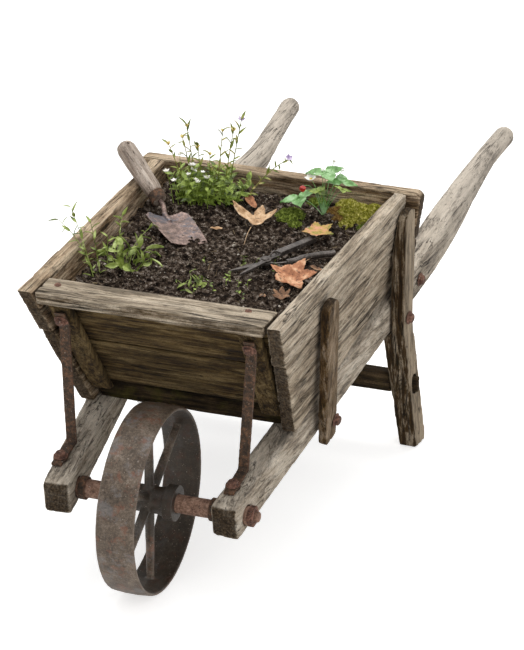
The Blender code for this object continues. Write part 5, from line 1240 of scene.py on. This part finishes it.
# %% Leaf finishes
def leaf_finish(name, dark, mid, light, size=0.018, roughness=0.5, glow=0.10):
    mat, tree, shader = new_finish(name)
    place = add(tree, "ShaderNodeTexCoord").outputs["Object"]
    tones = noise_value(tree, place, (1 / size, 1 / size, 1 / size), 3.0, 0.6)
    veins = noise_value(tree, place, (420, 420, 420), 2.0, 0.6, 0.0, seed=2.0)
    green = add(tree, "ShaderNodeValToRGB", {0: tones},
                ((0.36, dark), (0.50, mid), (0.64, light))).outputs[0]
    green = add(tree, "ShaderNodeMix", {0: 0.4, 6: green,
                 7: add(tree, "ShaderNodeValToRGB", {0: veins},
                        ((0.35, 0.6), (0.6, 1.0))).outputs[0]}, data_type="RGBA",
                blend_type="MULTIPLY").outputs[2]
    tree.links.new(green, shader.inputs["Base Color"])
    # Painted light: the part glows in its own colour, which lifts its shaded side.
    tree.links.new(green, shader.inputs["Emission Color"])
    shader.inputs["Emission Strength"].default_value = glow
    shader.inputs["Roughness"].default_value = roughness
    bump = add(tree, "ShaderNodeBump", {"Height": tones, "Strength": 0.4, "Distance": 0.001})
    tree.links.new(bump.outputs[0], shader.inputs["Normal"])
    return mat


WEED_GREEN = leaf_finish("weed_leaf", "#3c4a14", "#788c30", "#a9bc5c")
ROSETTE_GREEN = leaf_finish("toothed_weed_leaf", "#47561c", "#86963f", "#b4bf77")
STEM_TAN = leaf_finish("flower_stem", "#5c6a28", "#86923f", "#b3a468")
BERRY_GREEN = leaf_finish("strawberry_leaf", "#47702f", "#73a25c", "#a5c795", 0.02, 0.5, 0.12)
PETAL_WHITE = leaf_finish("white_petal", "#d8d2c2", "#f0ede4", "#fbfaf5", 0.01)
PETAL_CREAM = leaf_finish("cream_petal", "#c2b06a", "#ddd39c", "#f1ecd0", 0.01)
PETAL_VIOLET = leaf_finish("violet_petal", "#9a86ad", "#bda9c9", "#dccfe0", 0.01)
EYE_YELLOW = leaf_finish("flower_eye", "#a3862a", "#cfae3a", "#e3ca66", 0.01)
BERRY_RED = leaf_finish("ripening_berry", "#8a0f0c", "#b81d17", "#d8563f", 0.006, 0.3)

# %% [markdown]
# ## The plants
#
# A weedy clump in the far left corner sends up tall flower stems; a toothed rosette and a trailing
# shoot grow by the near left board; a small seedling stands at the front; and a strawberry grows
# by the back board. Each stem is a line from its root to its tip with a slight bow.


# %% Stem lines
def bowed(root, tip, bow=0.12, steps=6):
    """Points from root to tip, bowed upwards as a growing stem is."""
    root, tip = Vector(root), Vector(tip)
    rise = Vector((0, 0, (tip - root).length * bow))
    return [root.lerp(tip,
                      i / steps) + rise * math.sin(math.pi * i / steps) for i in range(steps + 1)]


def lines(name, routes):
    """Separate lines as the edges of one mesh object, kept out of the scene."""
    points, edges = [], []
    for route in routes:
        first = len(points)
        points += [tuple(p) for p in route]
        edges += [(first + i, first + i + 1) for i in range(len(route) - 1)]
    mesh = bpy.data.meshes.new(name)
    mesh.from_pydata(points, edges, [])
    return bpy.data.objects.new(name, mesh)


def bushy(centre, radii, count, tallest, splay, seed):
    """Stems rising from a patch of ground and leaning away from its middle."""
    chance = random.Random(seed)
    routes = []
    for _ in range(count):
        turn = chance.uniform(0, 2 * math.pi)
        out = math.sqrt(chance.random())
        dx, dy = radii[0] * out * math.cos(turn), radii[1] * out * math.sin(turn)
        height = tallest * chance.uniform(0.55, 1.0) * (1.05 - 0.45 * out)
        root = at(centre[0] + dx * 0.7, centre[1] + dy * 0.7, SOIL_TOP - 0.006)
        tip = at(centre[0] + dx * (0.7 + splay), centre[1] + dy * (0.7 + splay), SOIL_TOP + height)
        routes.append(bowed(root, tip, 0.10))
    return routes


# %% [markdown]
# The clump's leaves are oval and 15 to 20 mm long. Its tall stems end in small pale flowers at the
# heights they have in the barrow's far corner.

# %% Weed clump and its flower stems
clump = lines("clump_lines", bushy((-0.118, 0.622), (0.084, 0.058), 72, 0.074, 0.25, 11))
grown(LEAFY_STEM, "weed_clump_leaves", clump, WEED_GREEN, Leaf=oval_leaf, Stem_Radius=0.0009,
      Spacing=0.0105, Leaf_Size=0.0195, Turn=2.2, Lift=0.45, Seed=2)
TALL_TIPS = ((-0.190, 0.610), (-0.161, 0.628), (-0.152, 0.652), (-0.130, 0.612), (-0.105, 0.600),
             (-0.079, 0.652),
             (-0.057, 0.657), (-0.041, 0.679))
tall_routes = [bowed(at(-0.125 + (x + 0.115) * 0.55, 0.640, SOIL_TOP - 0.004), at(x, 0.602, z),
                     0.03, 8)
               for x, z in TALL_TIPS]
tall_routes.append(bowed(at(-0.053, 0.668, SOIL_TOP - 0.004), at(0.054, 0.602, 0.613), 0.05, 8))
tall = lines("tall_lines", tall_routes)
budding = lines("budding_lines", tall_routes[:-2])
blooming = lines("blooming_lines", tall_routes[-2:])
grown(LEAFY_STEM, "tall_stems", tall, STEM_TAN, Leaf=narrow_leaf, Stem_Radius=0.0014, Spacing=0.012,
      Leaf_Size=0.021, Turn=2.4, Lift=0.9, Seed=6)
grown(ON_EACH_TIP, "cream_flowers", budding, PETAL_CREAM, Thing=five_petals, Size=0.013,
      Upright=0.4, Seed=1)
grown(ON_EACH_TIP, "cream_flower_eyes", budding, EYE_YELLOW, Thing=flower_eye, Size=0.0060,
      Upright=0.4, Seed=1)
grown(ON_EACH_TIP, "violet_flowers", blooming, PETAL_VIOLET, Thing=five_petals, Size=0.018,
      Upright=0.4, Seed=1)
small_blooms = lines("small_bloom_lines",
                     bushy((-0.150, 0.600), (0.055, 0.036), 14, 0.105, 0.35, 4))
grown(LEAFY_STEM, "bloom_stems", small_blooms, WEED_GREEN, Leaf=narrow_leaf, Stem_Radius=0.0008,
      Spacing=0.018, Leaf_Size=0.012, Turn=2.4, Lift=0.7, Seed=9)
grown(ON_EACH_TIP, "small_white_flowers", small_blooms, PETAL_WHITE, Thing=five_petals, Size=0.014,
      Upright=0.5, Seed=3)
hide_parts("weed_clump")

# %% [markdown]
# The rosette's leaves are toothed and broad. The trailing shoot climbs over the left board, and the
# seedling at the front has only a few narrow leaves.

# %% Rosette, trailing shoot and seedling
rosette = lines("rosette_lines", bushy((-0.150, 0.275), (0.034, 0.036), 17, 0.034, 1.0, 21))
grown(LEAFY_STEM, "rosette_leaves", rosette, ROSETTE_GREEN, Leaf=toothed_leaf, Stem_Radius=0.0010,
      Spacing=0.016, Leaf_Size=0.030, Turn=2.4, Lift=0.75, Seed=4)
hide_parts("rosette_weed")
shoot = lines("shoot_lines", [
    bowed(at(-0.190, 0.215, SOIL_TOP - 0.004), at(-0.226, 0.200, 0.634), 0.05, 8),
    bowed(at(-0.190, 0.225, SOIL_TOP - 0.004), at(-0.250, 0.198, 0.606), 0.12, 8),
    bowed(at(-0.185, 0.235, SOIL_TOP - 0.004), at(-0.196, 0.222, 0.598), 0.05, 8),
    bowed(at(-0.175, 0.300, SOIL_TOP - 0.004), at(-0.200, 0.385, 0.545), 0.15, 8),
    bowed(at(-0.160, 0.290, SOIL_TOP - 0.004), at(-0.128, 0.360, 0.548), 0.10, 8),
    bowed(at(-0.180, 0.260, SOIL_TOP - 0.004), at(-0.175, 0.250, 0.562), 0.10, 8)])
grown(LEAFY_STEM, "trailing_shoot", shoot, ROSETTE_GREEN, Leaf=narrow_leaf, Stem_Radius=0.0010,
      Spacing=0.011, Leaf_Size=0.021, Turn=2.4, Lift=0.7, Seed=12)
seedling = lines("seedling_lines", bushy((0.000, 0.228), (0.026, 0.022), 9, 0.024, 1.1, 31))
grown(LEAFY_STEM, "seedling", seedling, ROSETTE_GREEN, Leaf=narrow_leaf, Stem_Radius=0.0008,
      Spacing=0.010, Leaf_Size=0.019, Turn=2.4, Lift=0.3, Seed=14)
sprouts = lines("sprout_lines", bushy((0.06, 0.30), (0.12, 0.16), 16, 0.014, 0.02, 37))
grown(LEAFY_STEM, "sprouts", sprouts, WEED_GREEN, Leaf=oval_leaf, Stem_Radius=0.0006, Spacing=0.006,
      Leaf_Size=0.008, Turn=3.1, Lift=0.3, Seed=15)

# %% [markdown]
# The strawberry holds each leaf, flower and berry on a stalk of its own.

# %% Strawberry
CROWN = (0.116, 0.628)


def from_crown(tips, bow=0.12):
    return [bowed(at(*CROWN, SOIL_TOP - 0.004), at(*tip), bow) for tip in tips]


leaf_stalks = lines("leaf_stalks", from_crown(((0.128, 0.604, 0.594), (0.160, 0.604, 0.578),
                                (0.076, 0.600, 0.536))))
young_stalks = lines("young_stalks", from_crown(((0.118, 0.596, 0.556), (0.150, 0.640, 0.548),
                                 (0.098, 0.640, 0.535))))
flower_stalks = lines("flower_stalks", from_crown(((0.106, 0.582, 0.586),)))
bud_stalks = lines("bud_stalks", from_crown(((0.146, 0.600, 0.622), (0.163, 0.600, 0.606),
                               (0.122, 0.602, 0.600))))
berry_stalks = lines("berry_stalks", from_crown(((0.084, 0.598, 0.562),), 0.3))
for number, stalks in enumerate((leaf_stalks, young_stalks, flower_stalks, bud_stalks,
                                 berry_stalks)):
    grown(LEAFY_STEM, f"strawberry_stalks_{number + 1}", stalks, BERRY_GREEN, Leaf=narrow_leaf,
          Stem_Radius=0.0011, Spacing=0.060, Leaf_Size=0.006, Turn=2.4, Lift=0.6, Seed=2)
grown(ON_EACH_TIP, "strawberry_leaves", leaf_stalks, BERRY_GREEN, Thing=three_part_leaf, Size=0.037,
      Upright=0.7, Seed=5)
grown(ON_EACH_TIP, "young_strawberry_leaves", young_stalks, WEED_GREEN, Thing=three_part_leaf,
      Size=0.018, Upright=0.6, Seed=8)
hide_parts("strawberry_plant")
grown(ON_EACH_TIP, "strawberry_flower", flower_stalks, PETAL_WHITE, Thing=five_petals, Size=0.026,
      Upright=0.6, Seed=2)
grown(ON_EACH_TIP, "strawberry_flower_eye", flower_stalks, EYE_YELLOW, Thing=flower_eye, Size=0.007,
      Upright=0.6, Seed=2)
grown(ON_EACH_TIP, "strawberry_buds", bud_stalks, PETAL_WHITE, Thing=flower_eye, Size=0.0075,
      Upright=0.5, Seed=7)
grown(ON_EACH_TIP, "strawberry_berry", berry_stalks, BERRY_RED, Thing=strawberry, Size=0.0115,
      Upright=1.0, Seed=1)

# %% [markdown]
# ## Moss
#
# Moss grows as rounded cushions of thousands of short shoots. The cushion is the CAD's mound made
# lumpier, and the scatter tree stands small shoots all over it; their tips catch the light, which
# gives moss its soft, bright edge.

# %% Moss
MOSS_BANK = plain_finish("yellow_green_moss",
                         ((0.38, "#64640c"), (0.5, "#a3a030"), (0.63, "#dcd284")), 0.006, 0.95,
                         0.003)
MOSS_DARK = plain_finish("dark_green_moss",
                         ((0.38, "#34400a"), (0.5, "#6a7a1c"), (0.63, "#adb95c")), 0.006, 0.95,
                         0.003)


def shoot_shape(bm):
    bmesh.ops.create_cone(bm, cap_ends=True, segments=4, radius1=0.22, radius2=0.03, depth=1.0,
                          matrix=Matrix.Translation((0, 0, 0.35)))


moss_shoot = pattern("moss_shoot", shoot_shape)


def moss_cushion(name, finish, seed):
    rust_piece(name, finish, 0.0018, pit_size=0.009, pit_depth=0.006)
    cushion = bpy.data.objects[name + "_worn"]
    grown(SCATTER, name + "_shoots", cushion, finish, Thing=moss_shoot, Density=300000.0,
          Smallest=0.0022, Largest=0.0062, Upright=0.85, Seed=seed)


moss_cushion("moss_bank", MOSS_BANK, 3)
moss_cushion("moss_cushion", MOSS_DARK, 6)

# %% [markdown]
# Smaller tufts of moss fill the corner round the bank, some of them reddened by drought.

# %% Moss tufts
MOSS_RED = plain_finish("reddened_moss", ((0.38, "#5a3a18"), (0.5, "#8d6a30"), (0.63, "#b79a58")),
                        0.006, 0.95, 0.003)
TUFTS = ((0.205, 0.668, 0.026, MOSS_BANK), (0.150, 0.676, 0.026, MOSS_BANK),
         (0.205, 0.628, 0.022, MOSS_BANK),
         (0.140, 0.645, 0.018, MOSS_RED), (0.178, 0.597, 0.018, MOSS_BANK),
         (0.152, 0.612, 0.013, MOSS_RED),
         (0.088, 0.672, 0.018, MOSS_DARK), (0.210, 0.585, 0.013, MOSS_DARK),
         (0.084, 0.560, 0.012, MOSS_DARK))


def moss_tuft(number, x, y, radius, finish):
    tuft = pattern(f"moss_tuft_{number}", lambda bm: bmesh.ops.create_icosphere(
        bm, subdivisions=3, radius=radius,
        matrix=Matrix.Translation(at(x, y, SOIL_TOP - radius * 0.15))
        @ Matrix.Diagonal((1, 1, 0.62, 1))))
    for vertex in tuft.data.vertices:
        centre = at(x, y, SOIL_TOP)
        vertex.co = centre + (vertex.co - centre) * (1 + 0.35 * noise.noise(vertex.co * 90))
    scene.collection.objects.link(tuft)
    dress(tuft, "barrow", finish)
    grown(SCATTER, f"moss_tuft_{number}_shoots", tuft, finish, Thing=moss_shoot, Density=300000.0,
          Smallest=0.0022, Largest=0.0060, Upright=0.85, Seed=number)


for number, (x, y, radius, finish) in enumerate(TUFTS, 1):
    moss_tuft(number, x, y, radius, finish)
print("after the plants:", len(finished), "pieces,", sum(n for _, n in finished), "faces")

# %% [markdown]
# ## Fallen leaves
#
# Dry leaves have curled: their lobes lift and their midribs bend. A leaf's outline is a distance
# from its middle that swells towards each lobe's tip, and the skin between is filled in rings so
# that it can curl smoothly. Its stalk is a thin bent rod.


# %% Fallen leaf shape
def lobed_reach(turn, lobes, waist, teeth):
    """How far a leaf's edge is from its middle, in a direction; lobes are (angle, reach, half-width)."""
    reach = waist
    for angle, length, width in lobes:
        apart = abs(
            (turn - math.radians(angle) + math.pi) % (2 * math.pi) - math.pi) / math.radians(width)
        reach = max(reach, waist + (length - waist) * max(0.0, 1 - apart) ** 0.9)
    return reach * (1 + teeth * abs(math.sin(turn * 14)))


MAPLE_LOBES = ((90, 1.0, 30), (40, 0.95, 26), (140, 0.95, 26), (-12, 0.75, 24), (192, 0.75, 24))
TORN_LOBES = ((84, 0.86, 36), (28, 0.92, 34), (164, 1.12, 38))
BLUNT_LOBES = ((90, 1.0, 36), (30, 0.95, 34), (150, 0.95, 34), (-30, 0.8, 30), (210, 0.8, 30))
OVAL_LOBES = ((90, 1.0, 70), (-90, 0.75, 60))


def fallen_leaf(name, node, finish, centre, length, degrees, lobes, waist, teeth, curl, lean=0.0,
                seed=0):
    """A curled dry leaf lying at a place given from the axle, its tip turned by some degrees."""
    rings, segments = 7, 84
    scale = length / 2
    bm = bmesh.new()
    middle = bm.verts.new((0, 0, 0))
    skins = []
    for ring in range(1, rings + 1):
        row = []
        for k in range(segments):
            turn = 2 * math.pi * k / segments
            reach = lobed_reach(turn, lobes, waist, teeth) * ring / rings
            x, y = reach * math.cos(turn), reach * math.sin(turn)
            lift = curl * (x * x * 0.9 + max(0, y) ** 2 * 0.5) + 0.05 * math.sin(
                                                 5 * turn + seed) * reach ** 2
            lift += 0.10 * noise.noise(Vector((x * 2, y * 2, seed)))
            row.append(bm.verts.new((x, y, lift)))
        skins.append(row)
    for k in range(segments):
        bm.faces.new((middle, skins[0][k], skins[0][(k + 1) % segments]))
    for near, far in zip(skins, skins[1:]):
        for k in range(segments):
            j = (k + 1) % segments
            bm.faces.new((near[k], far[k], far[j], near[j]))
    frame_here = Matrix.Translation(at(*centre)) @ Matrix.Rotation(math.radians(degrees), 4, "Z")
    bm.transform(frame_here @ Matrix.Rotation(lean, 4, "X") @ Matrix.Scale(scale, 4))
    bmesh.ops.recalc_face_normals(bm, faces=bm.faces[:])
    mesh = bpy.data.meshes.new(name)
    bm.to_mesh(mesh)
    bm.free()
    mesh.polygons.foreach_set("use_smooth", [True] * len(mesh.polygons))
    leaf = bpy.data.objects.new(name, mesh)
    scene.collection.objects.link(leaf)
    skin = leaf.modifiers.new("skin", "SOLIDIFY")
    skin.thickness = 0.0005
    skin.offset = 0.0
    apply_modifiers(leaf)
    return dress(leaf, "barrow", finish, [node] if node else [])


# %% [markdown]
# Colours wander at random through green, pale tan, orange and pink, with brown spots where the
# leaf has begun to rot.


# %% The leaves
def dry_leaf_finish(name, spot, low, mid, light):
    mat, tree, shader = new_finish(name)
    place = add(tree, "ShaderNodeTexCoord").outputs["Object"]
    tones = noise_value(tree, place, (55, 55, 55), 5.0, 0.65)
    spots = add(tree, "ShaderNodeMapRange",
                {"Value": noise_value(tree, place, (130, 130, 130), 3.0, 0.6, 0.0, seed=5.0),
                 1: 0.58, 2: 0.66, 3: 0.0, 4: 1.0}).outputs[0]
    dry = add(tree, "ShaderNodeValToRGB", {0: tones},
              ((0.36, low), (0.5, mid), (0.63, light))).outputs[0]
    dry = add(tree, "ShaderNodeMix",
              {0: add(tree, "ShaderNodeMath", {0: spots, 1: 0.75}, operation="MULTIPLY").outputs[0],
               6: dry, 7: linear(spot)}, data_type="RGBA").outputs[2]
    tree.links.new(dry, shader.inputs["Base Color"])
    shader.inputs["Roughness"].default_value = 0.72
    bump = add(tree, "ShaderNodeBump", {"Height": tones, "Strength": 0.5, "Distance": 0.001})
    tree.links.new(bump.outputs[0], shader.inputs["Normal"])
    return mat


TAN_LEAF = dry_leaf_finish("dry_tan_leaf", "#5e3f27", "#9c7650", "#cfaa82", "#ecd0ab")
ORANGE_LEAF = dry_leaf_finish("dry_orange_leaf", "#55331e", "#8f5a3a", "#bf825b", "#e6b890")
YELLOW_LEAF = dry_leaf_finish("turning_leaf", "#7a4a2c", "#74802e", "#bd9a55", "#dc9a80")
BROWN_LEAF = dry_leaf_finish("rotting_leaf", "#2e1d12", "#5a3d28", "#8a6446", "#b08a64")
LIE = SOIL_TOP + 0.004
fallen_leaf("tan_maple_leaf", "leaf_maple_tan", TAN_LEAF, (0.012, 0.540, LIE + 0.004), 0.088, 8,
            TORN_LOBES, 0.36, 0.06, 0.55, 0.16, 1)
fallen_leaf("orange_maple_leaf", "leaf_orange", ORANGE_LEAF, (0.158, 0.314, LIE + 0.010), 0.094,
            -140, BLUNT_LOBES, 0.46, 0.06, 0.62, -0.45, 2)
fallen_leaf("turning_leaf", "leaf_yellow", YELLOW_LEAF, (0.140, 0.510, LIE + 0.013), 0.072, -100,
            BLUNT_LOBES, 0.52, 0.10, 0.28, -0.06, 3)
fallen_leaf("small_orange_leaf", None, ORANGE_LEAF, (-0.026, 0.618, LIE + 0.003), 0.040, 50,
            OVAL_LOBES, 0.40, 0.06, 0.5, 0.3, 4)
fallen_leaf("tan_scrap", None, TAN_LEAF, (-0.048, 0.486, LIE), 0.030, 140, OVAL_LOBES, 0.4, 0.06,
            0.4, 0.1, 5)
fallen_leaf("brown_scrap", None, BROWN_LEAF, (0.168, 0.236, LIE), 0.042, 15, MAPLE_LOBES, 0.45,
            0.08, 0.6, 0.2, 6)
fallen_leaf("brown_scrap_2", None, BROWN_LEAF, (0.135, 0.228, LIE), 0.026, 200, OVAL_LOBES, 0.4,
            0.08, 0.5, 0.1, 7)
fallen_leaf("brown_scrap_3", None, BROWN_LEAF, (0.192, 0.372, LIE), 0.030, 100, OVAL_LOBES, 0.4,
            0.08, 0.5, 0.2, 8)
stalks = lines("fallen_stalks", [bowed(at(0.010, 0.520, LIE), at(0.026, 0.430, LIE + 0.001), 0.06),
                                 bowed(at(0.158, 0.345, LIE), at(0.170, 0.392, LIE + 0.010), 0.10)])
grown(LEAFY_STEM, "fallen_leaf_stalks", stalks, TAN_LEAF, Leaf=narrow_leaf, Stem_Radius=0.0009,
      Spacing=0.5, Leaf_Size=0.004, Turn=2.4, Lift=0.6, Seed=2)
print("leaves done:", len(finished), "pieces")
